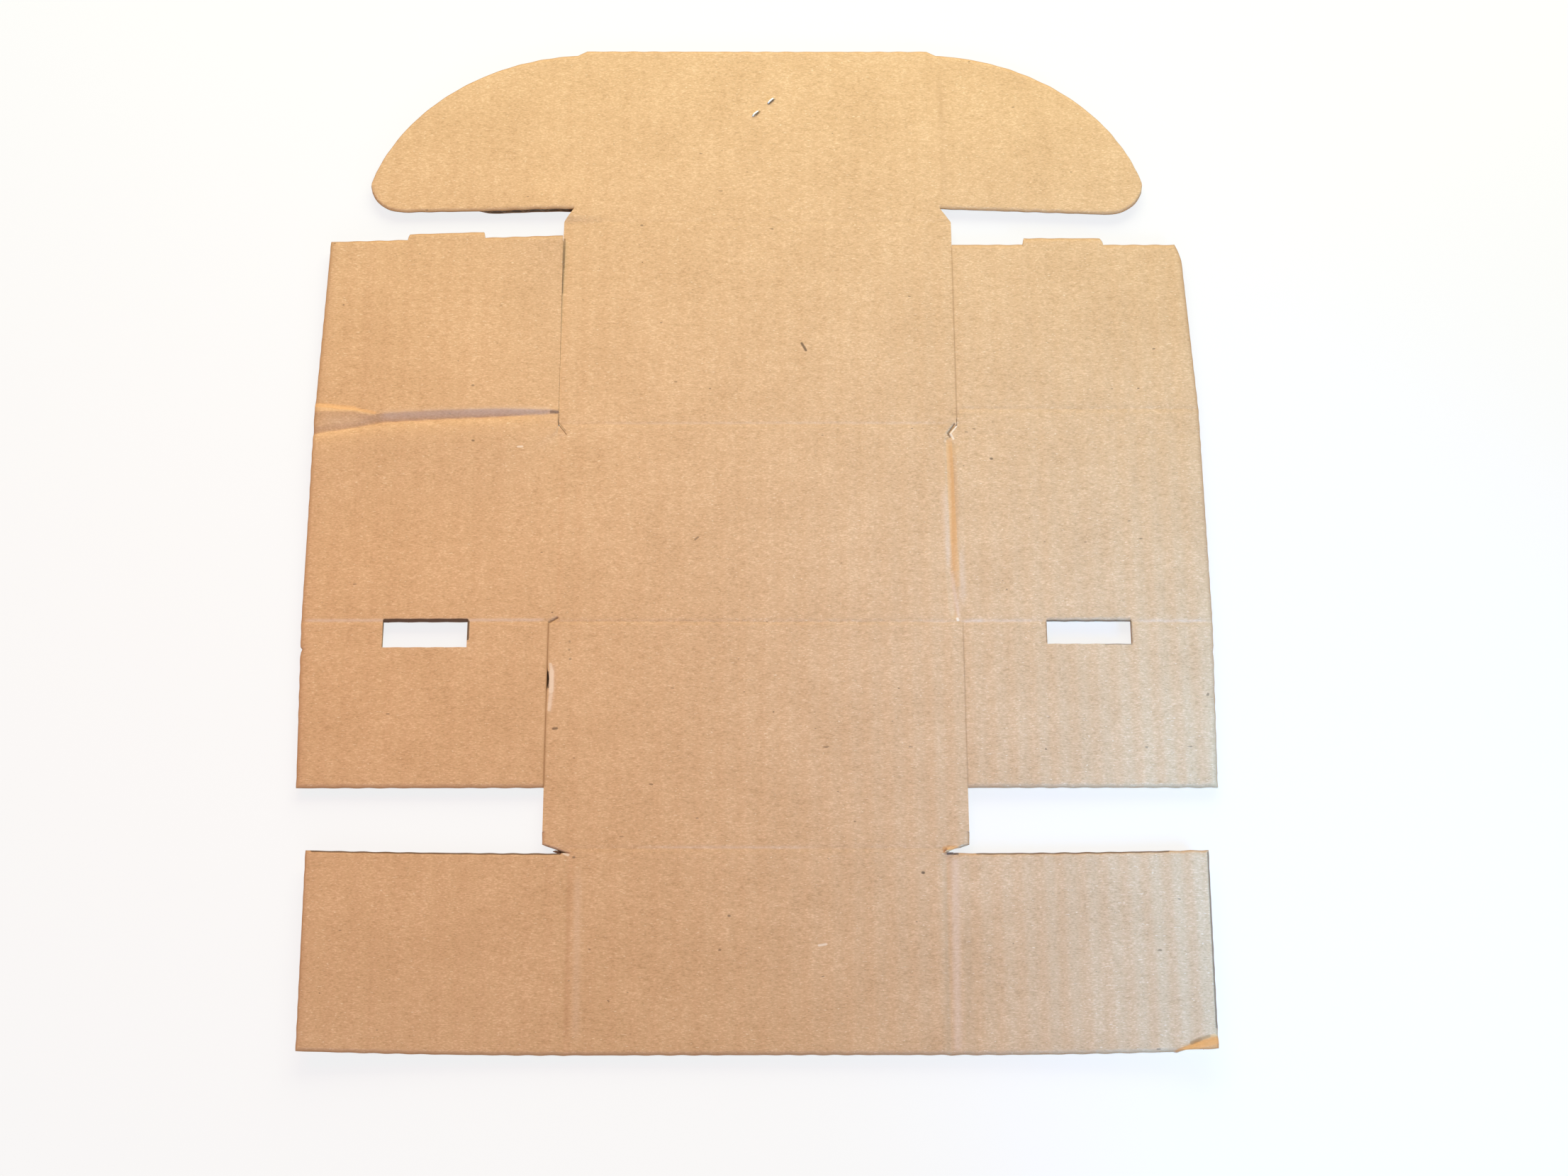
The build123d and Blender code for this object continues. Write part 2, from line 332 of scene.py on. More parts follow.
    # Dark specks in the paper, and painted shadows in the slits, round the slots, along the front flaps' far
    # edges, on the lid beside the raised left flap, above the turned-up corner and beside the staple's legs
    specks_and_painted_shadows: tuple[Nick, ...] = nicks(
        (17.0, 79.8, 18.6, 76.4, 0.7, 0.8), (-22.9, -10.6, -21.9, -9.6, 0.55, 0.55),
        (-73.3, -93.1, -72.2, -93.0, 0.8, 0.7), (58.4, -152.9, 58.6, -152.9, 0.8, 0.85),
        (87.6, 26.0, 87.8, 26.0, 0.8, 0.7), (-106.6, 33.4, -106.3, 33.4, 0.65, 0.65),
        (-107.5, 58.6, -107.2, 58.6, 0.65, 0.55), (-10.0, -170.4, -9.8, -170.4, 0.7, 0.6),
        (-13.2, -184.0, -13.0, -184.0, 0.65, 0.55), (-44.8, 136.9, -44.5, 136.9, 0.65, 0.55),
        (139.7, -101.0, 139.9, -101.0, 0.6, 0.5), (-68.0, -63.3, -67.9, -63.2, 0.65, 0.5),
        (-68.4, -59.4, -68.4, -59.2, 0.6, 0.35), (-68.3, -55.8, -68.3, -55.6, 0.6, 0.35),
        (-64.9, -146.6, -64.7, -146.6, 0.7, 0.6), (-74.35, 130.0, -74.5, 116.0, 0.6, 0.55),
        (-74.5, 116.0, -74.62, 104.0, 0.4, 0.4), (-77.6, 47.4, -75.0, 47.4, 0.7, 0.5),
        (-74.75, 46.5, -74.75, 43.0, 0.5, 0.3), (-74.75, 43.0, -72.1, 38.8, 0.45, 0.35),
        (74.3, 42.2, 71.7, 37.8, 0.5, 0.6), (71.7, 37.8, 72.4, 36.0, 0.5, 0.5),
        (-75.9, -47.2, -73.0, -45.2, 0.65, 0.6), (-75.75, -68.8, -75.6, -75.6, 0.42, 0.8),
        (67.3, -145.2, 70.9, -145.3, 0.55, 0.85), (149.4, -221.9, 152.6, -220.6, 1.1, 0.45),
        (152.6, -220.6, 155.4, -219.6, 0.9, 0.35), (4.71, 197.77, 6.92, 200.23, 0.6, 0.55),
        (-0.24, 192.28, 1.02, 193.97, 0.6, 0.6), (-135.9, -46.45, -106.2, -46.45, 1.0, 0.95, 0.7),
        (-105.7, -46.9, -105.7, -54.4, 0.8, 0.9, 0.6), (106.0, -46.45, 136.5, -46.45, 0.5, 0.6),
        (105.7, -47.0, 105.7, -55.8, 0.5, 0.5), (136.8, -47.0, 136.8, -56.0, 0.5, 0.35),
        (127.0, -56.8, 136.4, -56.8, 0.45, 0.5), (-157.0, -144.8, -70.0, -144.8, 1.0, 0.85, 0.5),
        (78.0, -144.8, 145.0, -144.8, 0.95, 0.75, 0.5), (159.4, -146.0, 158.5, -216.0, 0.7, 0.6, 0.4),
    )

    def left_flap(self, x: Array, y: Array) -> Array:
        """Lift of the left rolled edge and flap: a profile of five corners, carried along X by stations.

        Below the profile's first corner the wall swells by ridge * (1 - exp(-t / foot)) *
        exp(-(t / reach)^2), with t the distance from that corner, and less so near the cut. Above its last
        corner the flap rises with the third power of the distance.

        Args:
            x: places along X.
            y: places along Y.

        Returns:
            The lift, which stops at the cut beside the lid and fades out inside the back wall.
        """
        stations = np.array(self.buckle_x)
        corner_y = [np.interp(x, stations, row) for row in self.buckle_y]
        corner_z = [np.interp(x, stations, row) for row in self.buckle_z]
        below = np.maximum(corner_y[0] - y, 0.0)
        lift = self.ridge * (1.0 - np.exp(-below / self.ridge_foot)) * bell(below, 0.0, self.ridge_reach)
        lift = lift * (self.ridge_least + (1.0 - self.ridge_least) * ramp(x, *self.ridge_full))
        for y0, y1, z0, z1 in zip(corner_y[:-1], corner_y[1:], corner_z[:-1], corner_z[1:]):
            t = (y - y0) / (y1 - y0)
            lift = np.where((t >= 0.0) & (t <= 1.0), z0 + (z1 - z0) * t, lift)
        outer, inner = self.flap_rise
        rise = outer + (inner - outer) * share(x, stations[0], self.cut_left)
        above = np.clip((y - corner_y[-1]) / self.flap_run, 0.0, RUN_ON)
        lift = np.where(y > corner_y[-1], corner_z[-1] + (rise - corner_z[-1]) * above**3, lift)
        sharp, wide = self.cut_soft
        window = np.clip((self.cut_left - x) / (wide * (1.0 - ramp(y, *self.cut_fade)) + sharp), 0.0, 1.0)
        held = (x < self.cut_left) & (y < self.flap_end)
        return np.where(held, lift * window, 0.0)

    def lift(self, x: Array, y: Array) -> Array:
        """Height of the outer face over the floor.

        A low ripple, corner flaps that curl up with the square of their reach, a tent at the left ear's
        foot, lumps, and the buckled left flap.

        Args:
            x: places along X.
            y: places along Y.

        Returns:
            The height at each place.
        """
        waves = zip((x, y), self.ripple_run, self.ripple_start)
        swing = [np.sin(place / run + start) for place, run, start in waves]
        height = self.ripple * (1.0 + swing[0] * swing[1])
        high, low = self.curl
        curl = high + (low - high) * share(y, *self.curl_y)
        height = height + curl * share(np.abs(x), *self.curl_x) ** 2 * ramp(y, *self.curl_root)
        bells = [bell(*row) for row in zip((x, y), self.tent_place, self.tent_width)]
        tent = bells[0] * bells[1] * ramp(y, *self.tent_foot) * (x < self.tent_end)
        lumps = sum(stroke.weight(x, y) for stroke in self.lumps)
        return height + lumps + self.tent * tent + self.left_flap(x, y)

    def press(self, x: Array, y: Array) -> Array:
        """Depth to which creases and cuts press the inside face: the deepest of the strokes there."""
        return np.maximum.reduce([stroke.weight(x, y) for stroke in self.presses])

    def painted_light_and_wear(self, x: Array, y: Array) -> Array:
        """Sum of the marks at each place: above 0 painted highlights and a pale torn liner, below 0 painted
        shade.
        """
        return np.clip(sum(stroke.weight(x, y) for stroke in self.marks), -1.0, 1.0)


@dataclass(frozen=True)
class Lines:
    """Grid lines along one axis: an even step, finer bands over creases and damage, a line near each end."""

    step: float
    bands: tuple[Triple, ...]

    def between(self, low: float, high: float, stride: int = 1) -> Array:
        """Grid lines from low to high, both included.

        Args:
            low: the first line.
            high: the last line.
            stride: takes only each stride-th of the lines between them.

        Returns:
            The lines in order.
        """
        sets = [np.arange(math.floor(low / self.step), math.ceil(high / self.step) + 1) * self.step]
        sets += [np.arange(a, b + step / 2, step) for a, b, step in self.bands]
        every = np.unique(np.round(np.concatenate(sets), 4))
        room = RIM if high - low > RIM_SPAN else 0.0
        inner = every[(every > low + room + RIM_GAP) & (every < high - room - RIM_GAP)]
        ends = ([low, low + room], inner[stride // 2 :: stride], [high - room, high])
        return np.unique(np.concatenate(ends))


@dataclass(frozen=True)
class Fold:
    """A squashed corner, turned up round a line on the plan at the pivot's height, in millimetres."""

    start: Pair
    end: Pair
    angle: float
    soft: float = 0.6
    pivot: float = 7.0
    squash: float = 0.6
    squash_run: float = 2.0

    def turn(self, points: Array) -> Array:
        """Turns each point beyond the line by the angle, which grows from 0 over a short soft band.

        Args:
            points: n by 3 places.

        Returns:
            The turned places.
        """
        a = np.array(self.start)
        along = np.array(self.end) - a
        along /= np.hypot(*along)
        out = np.array([along[1], -along[0]])
        q = (points[:, :2] - a) @ out
        beyond = np.maximum(q, 0.0)
        angle = math.radians(self.angle) * ramp(beyond, 0.0, self.soft)
        height = (points[:, 2] - self.pivot) * (1.0 - self.squash * ramp(beyond, 0.0, self.squash_run))
        turned = points.copy()
        shift = beyond * np.cos(angle) - height * np.sin(angle) * (q > 0.0) - beyond
        turned[:, :2] += shift[:, None] * out
        raised = height * np.cos(angle) + beyond * np.sin(angle)
        turned[:, 2] = self.pivot + np.where(q > 0.0, raised, height)
        return turned


@dataclass(frozen=True)
class Patch:
    """A block of the plan between two x lines and two y lines, whose four edges may follow curves."""

    x: Pair
    y: Pair
    x_low: Optional[Curve] = None
    x_high: Optional[Curve] = None
    y_low: Optional[Curve] = None
    y_high: Optional[Curve] = None
    cut: tuple[Edge, ...] = ()
    slant: float | Curve = 2.4
    torn: bool = False
    fold: Optional[Fold] = None
    even: bool = False
    level: bool = False

    def on(self, side: Side) -> "Patch":
        """This patch on the right side, or turned over for the left one, with its slant as it is.

        Args:
            side: the side of the sheet.

        Returns:
            The patch of that side.
        """
        if side is Side.RIGHT:
            return self
        swap = {Edge.LEFT: Edge.RIGHT, Edge.RIGHT: Edge.LEFT}
        return replace(
            self,
            x=(-self.x[1], -self.x[0]),
            x_low=self.x_high and (lambda y: -self.x_high(y)),
            x_high=self.x_low and (lambda y: -self.x_low(y)),
            y_low=self.y_low and (lambda x: self.y_low(-x)),
            y_high=self.y_high and (lambda x: self.y_high(-x)),
            cut=tuple(swap.get(edge, edge) for edge in self.cut),
        )

    def from_cut(self, x: Array, y: Array) -> Array:
        """Distance of each place of the grid from the nearest cut edge, far where the patch has none."""
        gaps = dict(zip(Edge, (x - x[:, :1], x[:, -1:] - x, y - y[:1], y[-1:] - y)))
        return np.minimum.reduce([gaps[edge] for edge in self.cut] + [np.full_like(x, FAR_OFF)])

    def back(self, edge: Edge, layer: Layer, along: Array) -> Array | float:
        """How far a paper stands back from a cut edge: its share of the slant, which may vary.

        Args:
            edge: the edge of the patch.
            layer: the paper.
            along: places along the edge, for a slant that varies.

        Returns:
            The distance, small at a far edge and, where the slant is one number, at a left or right edge.
        """
        part = STAND_BACK[layer.value] if edge in self.cut else 0.0
        if callable(self.slant) and edge is not Edge.FAR:
            return part * self.slant(along)
        return part * (self.slant if edge is Edge.NEAR else PLAIN_SLANT)

    def grid(self, columns: Array, rows: Array, layer: Layer) -> tuple[Array, Array]:
        """Stretches the rows of the even grid between the low and high curves, then its columns likewise.

        At cut edges the papers below the inside one stand back, because the die has crushed the edge to a
        slant. A torn patch has its curved left edge in the inside paper alone.

        Args:
            columns: x lines from the first to the last edge.
            rows: y lines from the first to the last edge.
            layer: the paper that the grid is for.

        Returns:
            X and Y of the grid, with a row of the array for each y line.
        """
        x, y = np.meshgrid(columns, rows)
        (x0, x1), (y0, y1) = self.x, self.y
        low = (self.y_low(x) if self.y_low else y0) + self.back(Edge.NEAR, layer, x)
        high = (self.y_high(x) if self.y_high else y1) - self.back(Edge.FAR, layer, x)
        y = low + (y - y0) / (y1 - y0) * np.maximum(high - low, HAIR)
        whole = self.torn and layer is not Layer.INSIDE
        low = (self.x_low(y) if self.x_low and not whole else x0) + self.back(Edge.LEFT, layer, y)
        high = (self.x_high(y) if self.x_high else x1) - self.back(Edge.RIGHT, layer, y)
        return low + (x - x0) / (x1 - x0) * (high - low), y


@dataclass
class Pile:
    """Collects closed slabs, each made from a grid, and turns them into one object."""

    points: list[Array] = field(default_factory=list)
    faces: list[Array] = field(default_factory=list)
    layers: list[Array] = field(default_factory=list)
    painted_lights_and_wear: list[Array] = field(default_factory=list)
    count: int = 0
    sharp: float = 42.0

    def slab(
        self, plan: tuple[Array, Array], heights: tuple[Array, Array], layer: Layer, painted_light_and_wear: Array,
        fold: Optional[Fold],
    ) -> None:
        """Adds a closed slab: the high grid, the low grid turned over, and a wall round their border.

        Args:
            plan: X and Y of the grid, in millimetres.
            heights: of the lower and the upper face.
            layer: the paper that it is made of.
            painted_light_and_wear: how far each place is painted pale, as highlights and a torn liner, or
                dark, as painted shade.
            fold: a turned-up corner, if the slab has one.
        """
        flat = np.stack(plan, axis=-1)
        count = flat[..., 0].size
        top = np.arange(count).reshape(flat.shape[:2])
        ring = np.concatenate((top[0, :-1], top[:-1, -1], top[-1, :0:-1], top[:0:-1, 0]))
        after = np.roll(ring, -1)
        over = np.stack((top[:-1, :-1], top[:-1, 1:], top[1:, 1:], top[1:, :-1]), axis=-1).reshape(-1, 4)
        under = np.roll(over[:, ::-1], 1, axis=1) + count
        wall = np.stack((ring + count, after + count, after, ring), axis=-1)
        faces = np.concatenate((over, under, wall))
        flat = flat.reshape(-1, 2)
        low, high = heights
        points = np.concatenate((np.c_[flat, high.ravel()], np.c_[flat, low.ravel()]))
        self.points.append(fold.turn(points) if fold else points)
        self.faces.append(faces + self.count)
        self.layers.append(np.full(len(faces), layer.value))
        self.painted_lights_and_wear.append(np.tile(painted_light_and_wear.ravel(), 2))
        self.count += 2 * count

    def make(self, name: str, finishes: Sequence[Material]) -> Object:
        """Writes the slabs to a mesh in metres and gives it its finishes.

        Args:
            name: the object's name.
            finishes: materials in the order of the layers.

        Returns:
            The new object, at the origin.
        """
        points = np.concatenate(self.points) * MM
        faces = np.concatenate(self.faces)
        mesh = bpy.data.meshes.new(name)
        mesh.vertices.add(len(points))
        mesh.vertices.foreach_set("co", points.ravel())
        mesh.loops.add(faces.size)
        mesh.loops.foreach_set("vertex_index", faces.ravel().astype(np.int32))
        mesh.polygons.add(len(faces))
        mesh.polygons.foreach_set("loop_start", np.arange(0, faces.size, 4, dtype=np.int32))
        mesh.polygons.foreach_set("material_index", np.concatenate(self.layers).astype(np.int32))
        mesh.polygons.foreach_set("use_smooth", np.ones(len(faces), dtype=bool))
        mesh.update(calc_edges=True)
        mesh.validate()
        painted_light_and_wear = mesh.attributes.new("painted_light_and_wear", "FLOAT", "POINT")
        painted_light_and_wear.data.foreach_set("value", np.concatenate(self.painted_lights_and_wear).astype(np.float32))
        mesh.set_sharp_from_angle(angle=math.radians(self.sharp))
        for finish in finishes:
            mesh.materials.append(finish)
        return stand(name, mesh)


@dataclass
class Sheet:
    """Single wall board: two liners with a waved paper between them, lying as the used sheet lies."""

    thick: float = 4.0
    liner: float = 0.4
    medium: float = 0.34
    pitch: float = 7.5
    washboard: float = 0.15
    washboard_gain: float = 0.8
    washboard_run: Pair = (-20.0, 260.0)
    waver: float = 0.07
    waver_width: float = 2.0
    waver_x: Triple = (0.83, 1.7, 0.11)
    waver_y: Triple = (0.71, 1.3, 0.13)
    crush: float = 0.35
    crush_width: float = 0.7
    painted_edge_shade: float = 0.9
    painted_edge_shade_width: float = 0.5
    coarse_columns: int = 2
    coarse_rows: int = 3
    lie: Lie = field(default_factory=Lie)
    columns: Lines = Lines(
        1.25,
        (
            (-77.5, -62.0, 0.45), (62.0, 77.5, 0.45), (-138.0, -134.6, 0.3), (-107.4, -104.0, 0.3),
            (104.0, 107.4, 0.3), (134.6, 138.0, 0.3), (138.0, 160.0, 0.6),
        ),
    )
    rows: Lines = Lines(
        4.0,
        (
            (219.0, 225.0, 0.8), (134.0, 149.0, 0.6), (123.0, 131.0, 0.8), (28.0, 54.5, 0.5),
            (-51.0, -43.0, 0.4), (-90.0, -62.0, 0.8), (-118.0, -112.0, 0.8), (-149.0, -140.0, 0.5),
            (-225.0, -214.0, 0.6),
        ),
    )

    def stack(self, pile: Pile, patch: Patch) -> None:
        """Lays the three papers of one patch.

        The inside face is the lift plus the thickness less the depth of the presses, with a low wave from
        the flutes that grows towards the right front. It dips in a bell towards each cut edge, which the die
        has crushed, and painted shade darkens the papers' colour in a bell there; the edge wavers by a sine
        of a sine. The middle paper is a cosine of the flute pitch between the two liners. The hidden papers
        have fewer grid lines. A level patch doesn't rise with what lies beyond its own x lines.

        Args:
            pile: where the slabs are collected.
            patch: the block of the plan.
        """
        for layer in Layer:
            hidden = layer is not Layer.INSIDE and not patch.even
            smooth = hidden and layer is Layer.OUTSIDE
            columns = self.columns.between(*patch.x, self.coarse_columns if smooth else 1)
            rows = self.rows.between(*patch.y, self.coarse_rows if hidden else 1)
            x, y = patch.grid(columns, rows, layer)
            lift = self.lie.lift(np.clip(x, *patch.x) if patch.level else x, y)
            rim = patch.from_cut(x, y)
            press = self.lie.press(x, y) + self.crush * bell(rim, 0.0, self.crush_width)
            swell = np.cos(2.0 * np.pi * x / self.pitch)
            wave = self.washboard * (1.0 + self.washboard_gain * ramp(x - y, *self.washboard_run))
            top = lift + self.thick - press - wave * 0.5 * (1.0 + swell)
            if layer is Layer.INSIDE:
                heights = top - self.liner, top
            elif layer is Layer.OUTSIDE:
                heights = lift, lift + self.liner
            else:
                room = 0.5 * (top - lift) - self.liner - 0.5 * self.medium
                middle = 0.5 * (top + lift) - np.maximum(room, 0.0) * swell
                heights = middle - 0.5 * self.medium, middle + 0.5 * self.medium
            rough = self.waver * bell(rim, 0.0, self.waver_width)
            plan = x + rough * sway(y, x, self.waver_x), y + rough * sway(x, y, self.waver_y)
            # The marks, plus painted shade that darkens the colour at each cut edge
            painted_light_and_wear = self.lie.painted_light_and_wear(x, y) - self.painted_edge_shade * bell(rim, 0.0, self.painted_edge_shade_width)
            pile.slab(plan, heights, layer, painted_light_and_wear, patch.fold)


@dataclass(frozen=True)
class Grain:
    """A noise: features per metre along X, Y and Z, octaves, and how strongly the finer ones show."""

    stretch: Triple
    detail: float
    rough: float = 0.55


class Nodes:
    """A node tree of a material or a world, with short ways to add the nodes that are used here."""

    def __init__(self, owner: Material | bpy.types.World) -> None:
        """Turns on the nodes of a new material or world.

        Args:
            owner: the material or world.
        """
        owner.use_nodes = True
        self.owner = owner
        self.tree = owner.node_tree

    @cached_property
    def place(self) -> Socket:
        """The object's own coordinates."""
        return self.add("TexCoord").outputs["Object"]

    def set(self, node: bpy.types.Node, inputs: Inputs) -> None:
        """Links a node's inputs to other sockets, or sets their constants.

        Args:
            node: the node.
            inputs: sockets and constants, by the input's name or number.
        """
        for key, value in inputs.items():
            if isinstance(value, Socket):
                self.tree.links.new(value, node.inputs[key])
            else:
                node.inputs[key].default_value = value

    def add(self, kind: str, inputs: Optional[Inputs] = None, **options: str) -> bpy.types.Node:
        """Adds a node.

        Args:
            kind: the shader node's name.
            inputs: sockets and constants, by the input's name or number.
            options: the node's own settings.

        Returns:
            The node.
        """
        node = self.tree.nodes.new("ShaderNode" + kind)
        for name, value in options.items():
            setattr(node, name, value)
        self.set(node, inputs or {})
        return node

    def noise(self, grain: Grain) -> Socket:
        """Noise on the object's own coordinates.

        Args:
            grain: what the noise is like.

        Returns:
            The noise value, about 0 to 1.
        """
        place = self.add("Mapping", {"Vector": self.place, "Scale": grain.stretch}).outputs["Vector"]
        inputs = {"Vector": place, "Scale": 1.0, "Detail": grain.detail, "Roughness": grain.rough}
        return self.add("TexNoise", inputs).outputs["Fac"]

    def math(self, kind: str, *values: object) -> Socket:
        """A math node of a kind such as ADD or MULTIPLY_ADD, on sockets or constants in order."""
        return self.add("Math", dict(enumerate(values)), operation=kind).outputs["Value"]

    def span(self, value: object, low: float, high: float, out: Pair = (0.0, 1.0)) -> Socket:
        """Maps a value from low and high to the two numbers of out, smoothly and with both ends held."""
        inputs = dict(enumerate((value, low, high, *out)))
        return self.add("MapRange", inputs, interpolation_type="SMOOTHSTEP").outputs["Result"]

    def mix(self, amount: object, first: object, second: object) -> Socket:
        """Mixes two colours, the node's inputs 6 and 7, from the first at 0 to the second at 1."""
        return self.add("Mix", {0: amount, 6: first, 7: second}, data_type="RGBA").outputs[2]

    def vector(self, kind: str, first: object, second: object) -> Socket:
        """A vector math node, on sockets or constants.

        Args:
            kind: Blender's name of the operation, such as SUBTRACT or DISTANCE.
            first: the first vector.
            second: the second vector, or the factor of SCALE.

        Returns:
            The result, a number for DISTANCE and DOT_PRODUCT.
        """
        inputs = {0: first, "Scale" if kind == "SCALE" else 1: second}
        outputs = self.add("VectorMath", inputs, operation=kind).outputs
        return outputs["Value" if kind in ("DISTANCE", "DOT_PRODUCT") else "Vector"]

    def capsule(self, flat: Socket, nick: Nick) -> Socket:
        """Weight of a nick: its strength along the line from start to end, and 0 at its width from there.

        Args:
            flat: places on the plan.
            nick: the line.

        Returns:
            The weight, from 0 to the strength.
        """
        start = np.array((*nick.start, 0.0))
        way = np.array((*nick.end, 0.0)) - start
        from_start = self.vector("SUBTRACT", flat, tuple(start * MM))
        along = self.vector("DOT_PRODUCT", from_start, tuple(way / (way @ way) / MM))
        along = self.math("MINIMUM", self.math("MAXIMUM", along, 0.0), 1.0)
        gap = self.vector("DISTANCE", from_start, self.vector("SCALE", tuple(way * MM), along))
        return self.span(gap, nick.width * MM, nick.core * nick.width * MM, (0.0, nick.strength))

    def surface(self, inputs: Inputs) -> Material:
        """Sets the surface shader and hands over the material."""
        self.set(self.tree.nodes["Principled BSDF"], inputs)
        return self.owner


@dataclass(frozen=True)
class KraftFinish:
    """Brown kraft paper: fibres that lie across the flutes, mottling, pale flecks and rare dark specks."""

    name: str
    dark: Colour = (0.555, 0.347, 0.193, 1.0)
    middle: Colour = (0.68, 0.445, 0.26, 1.0)
    pale: Colour = (0.82, 0.575, 0.365, 1.0)
    fleck: Colour = (0.90, 0.74, 0.54, 1.0)
    speck: Colour = (0.15, 0.085, 0.05, 1.0)
    # Colour of the pale marks (wear and painted highlights), then of the dark ones (painted shade)
    pale_wear_and_painted_highlight: Colour = (0.79, 0.61, 0.48, 1.0)
    painted_shade: Colour = (0.42, 0.23, 0.11, 1.0)
    # Colours of the fine marks: painted warm light and shade, pale marks, and dark specks with painted
    # shadows
    warm_painted_light: Colour = (0.82, 0.455, 0.18, 1.0)
    pale_nick: Colour = (0.93, 0.80, 0.66, 1.0)
    speck_and_painted_shadow: Colour = (0.10, 0.06, 0.04, 1.0)
    lie: Optional[Lie] = None
    fibres: Grain = Grain((900.0, 2300.0, 900.0), 3.0, 0.6)
    mottle: Grain = Grain((330.0, 480.0, 330.0), 2.0)
    cloud: Grain = Grain((40.0, 40.0, 40.0), 2.0)
    flecks: Grain = Grain((700.0, 2000.0, 700.0), 1.0)
    specks: Grain = Grain((420.0, 640.0, 420.0), 0.0)
    fibre_weight: float = 1.56
    mottle_weight: float = 0.5
    cloud_weight: float = 0.4
    stripe_weight: float = -0.015
    dark_tones: Pair = (0.12, 0.5)
    pale_tones: Pair = (0.5, 0.9)
    fleck_range: Pair = (0.675, 0.77)
    fleck_cover: float = 0.7
    speck_range: Pair = (0.872, 0.895)
    speck_cover: float = 0.6
    mark_fibre_range: Pair = (0.3, 0.62)
    mark_fibre_cover: Pair = (0.75, 1.15)
    rough: float = 0.82
    gloss: float = 0.22
    pitch: float = 7.5 * MM
    relief: float = 0.35
    relief_depth: float = 0.16 * MM
    mottle_relief: float = 0.5

    def nicked(self, n: Nodes, colour: Socket, lie: Lie) -> Socket:
        """Lays the fine marks over the paper: painted warm light and shade, then the pale marks, then the
        dark specks and painted shadows.

        Args:
            n: the material's nodes.
            colour: the paper's colour so far.
            lie: where the marks are.

        Returns:
            The marked colour.
        """
        flat = n.vector("MULTIPLY", n.place, (1.0, 1.0, 0.0))
        groups = lie.warm_light_and_shade_nicks, lie.pale_nicks, lie.specks_and_painted_shadows
        for group, paint in zip(groups, (self.warm_painted_light, self.pale_nick, self.speck_and_painted_shadow)):
            cover: object = 0.0
            for nick in group:
                cover = n.math("MAXIMUM", cover, n.capsule(flat, nick))
            colour = n.mix(cover, colour, paint)
        return colour

    def build(self) -> Material:
        """Makes the material.

        Returns:
            The material. Its tone is 0.5 plus a sum of weights, each times what a fine, middle or wide noise
            has over 0.5, and a small weight times the cosine of the flutes' stripes.
        """
        n = Nodes(bpy.data.materials.new(self.name))
        fibres, mottle, cloud = (n.noise(grain) for grain in (self.fibres, self.mottle, self.cloud))
        across = n.add("SeparateXYZ", {0: n.place}).outputs["X"]
        stripe = n.math("COSINE", n.math("MULTIPLY", across, 2.0 * math.pi / self.pitch))
        tone = n.math("MULTIPLY_ADD", fibres, self.fibre_weight, -0.5 * self.fibre_weight)
        tone = n.math("MULTIPLY_ADD", n.math("SUBTRACT", mottle, 0.5), self.mottle_weight, tone)
        tone = n.math("MULTIPLY_ADD", n.math("SUBTRACT", cloud, 0.5), self.cloud_weight, tone)
        tone = n.math("MULTIPLY_ADD", stripe, self.stripe_weight, tone)
        tone = n.math("ADD", tone, 0.5)
        colour = n.mix(n.span(tone, *self.dark_tones), self.dark, self.middle)
        colour = n.mix(n.span(tone, *self.pale_tones), colour, self.pale)
        flecks = n.span(n.noise(self.flecks), *self.fleck_range, (0.0, self.fleck_cover))
        colour = n.mix(flecks, colour, self.fleck)
        specks = n.span(n.noise(self.specks), *self.speck_range, (0.0, self.speck_cover))
        colour = n.mix(specks, colour, self.speck)
        # The marks, broken up by the fibres: painted highlights and a torn liner turn pale, painted shade
        # turns dark
        painted_light_and_wear = n.add("Attribute", attribute_name="painted_light_and_wear").outputs["Fac"]
        light_and_wear_marks = n.math("MULTIPLY", painted_light_and_wear, n.span(fibres, *self.mark_fibre_range, self.mark_fibre_cover))
        colour = n.mix(n.math("MAXIMUM", light_and_wear_marks, 0.0), colour, self.pale_wear_and_painted_highlight)
        colour = n.mix(n.math("MAXIMUM", n.math("MULTIPLY", light_and_wear_marks, -1.0), 0.0), colour, self.painted_shade)
        if self.lie:
            colour = self.nicked(n, colour, self.lie)
        height = n.math("MULTIPLY_ADD", mottle, self.mottle_relief, fibres)
        bump = n.add("Bump", {"Height": height, "Strength": self.relief, "Distance": self.relief_depth})
        return n.surface({
            "Base Color": colour, "Roughness": self.rough, "Specular IOR Level": self.gloss,
            "Normal": bump.outputs["Normal"],
        })


@dataclass(frozen=True)
class WireFinish:
    """Bright galvanised wire with faint drawing lines along it."""

    name: str = "staple_steel"
    dull: Colour = (0.36, 0.37, 0.38, 1.0)
    bright: Colour = (0.78, 0.82, 0.85, 1.0)
    lines: Grain = Grain((2600.0, 2600.0, 2600.0), 2.0)
    line_range: Pair = (0.3, 0.7)
    rough: Pair = (0.3, 0.46)

    def build(self) -> Material:
        """Makes the material.

        Returns:
            The material, a metal whose colour and gloss vary a little along the wire.
        """
        n = Nodes(bpy.data.materials.new(self.name))
        lines = n.noise(self.lines)
        colour = n.mix(lines, self.dull, self.bright)
        rough = n.span(lines, *self.line_range, self.rough)
        return n.surface({"Base Color": colour, "Metallic": 1.0, "Roughness": rough})


@dataclass(frozen=True)
class Finishes:
    """The papers of the board in the order of the layers, and the wire."""

    board: tuple[Material, ...]
    wire: Material


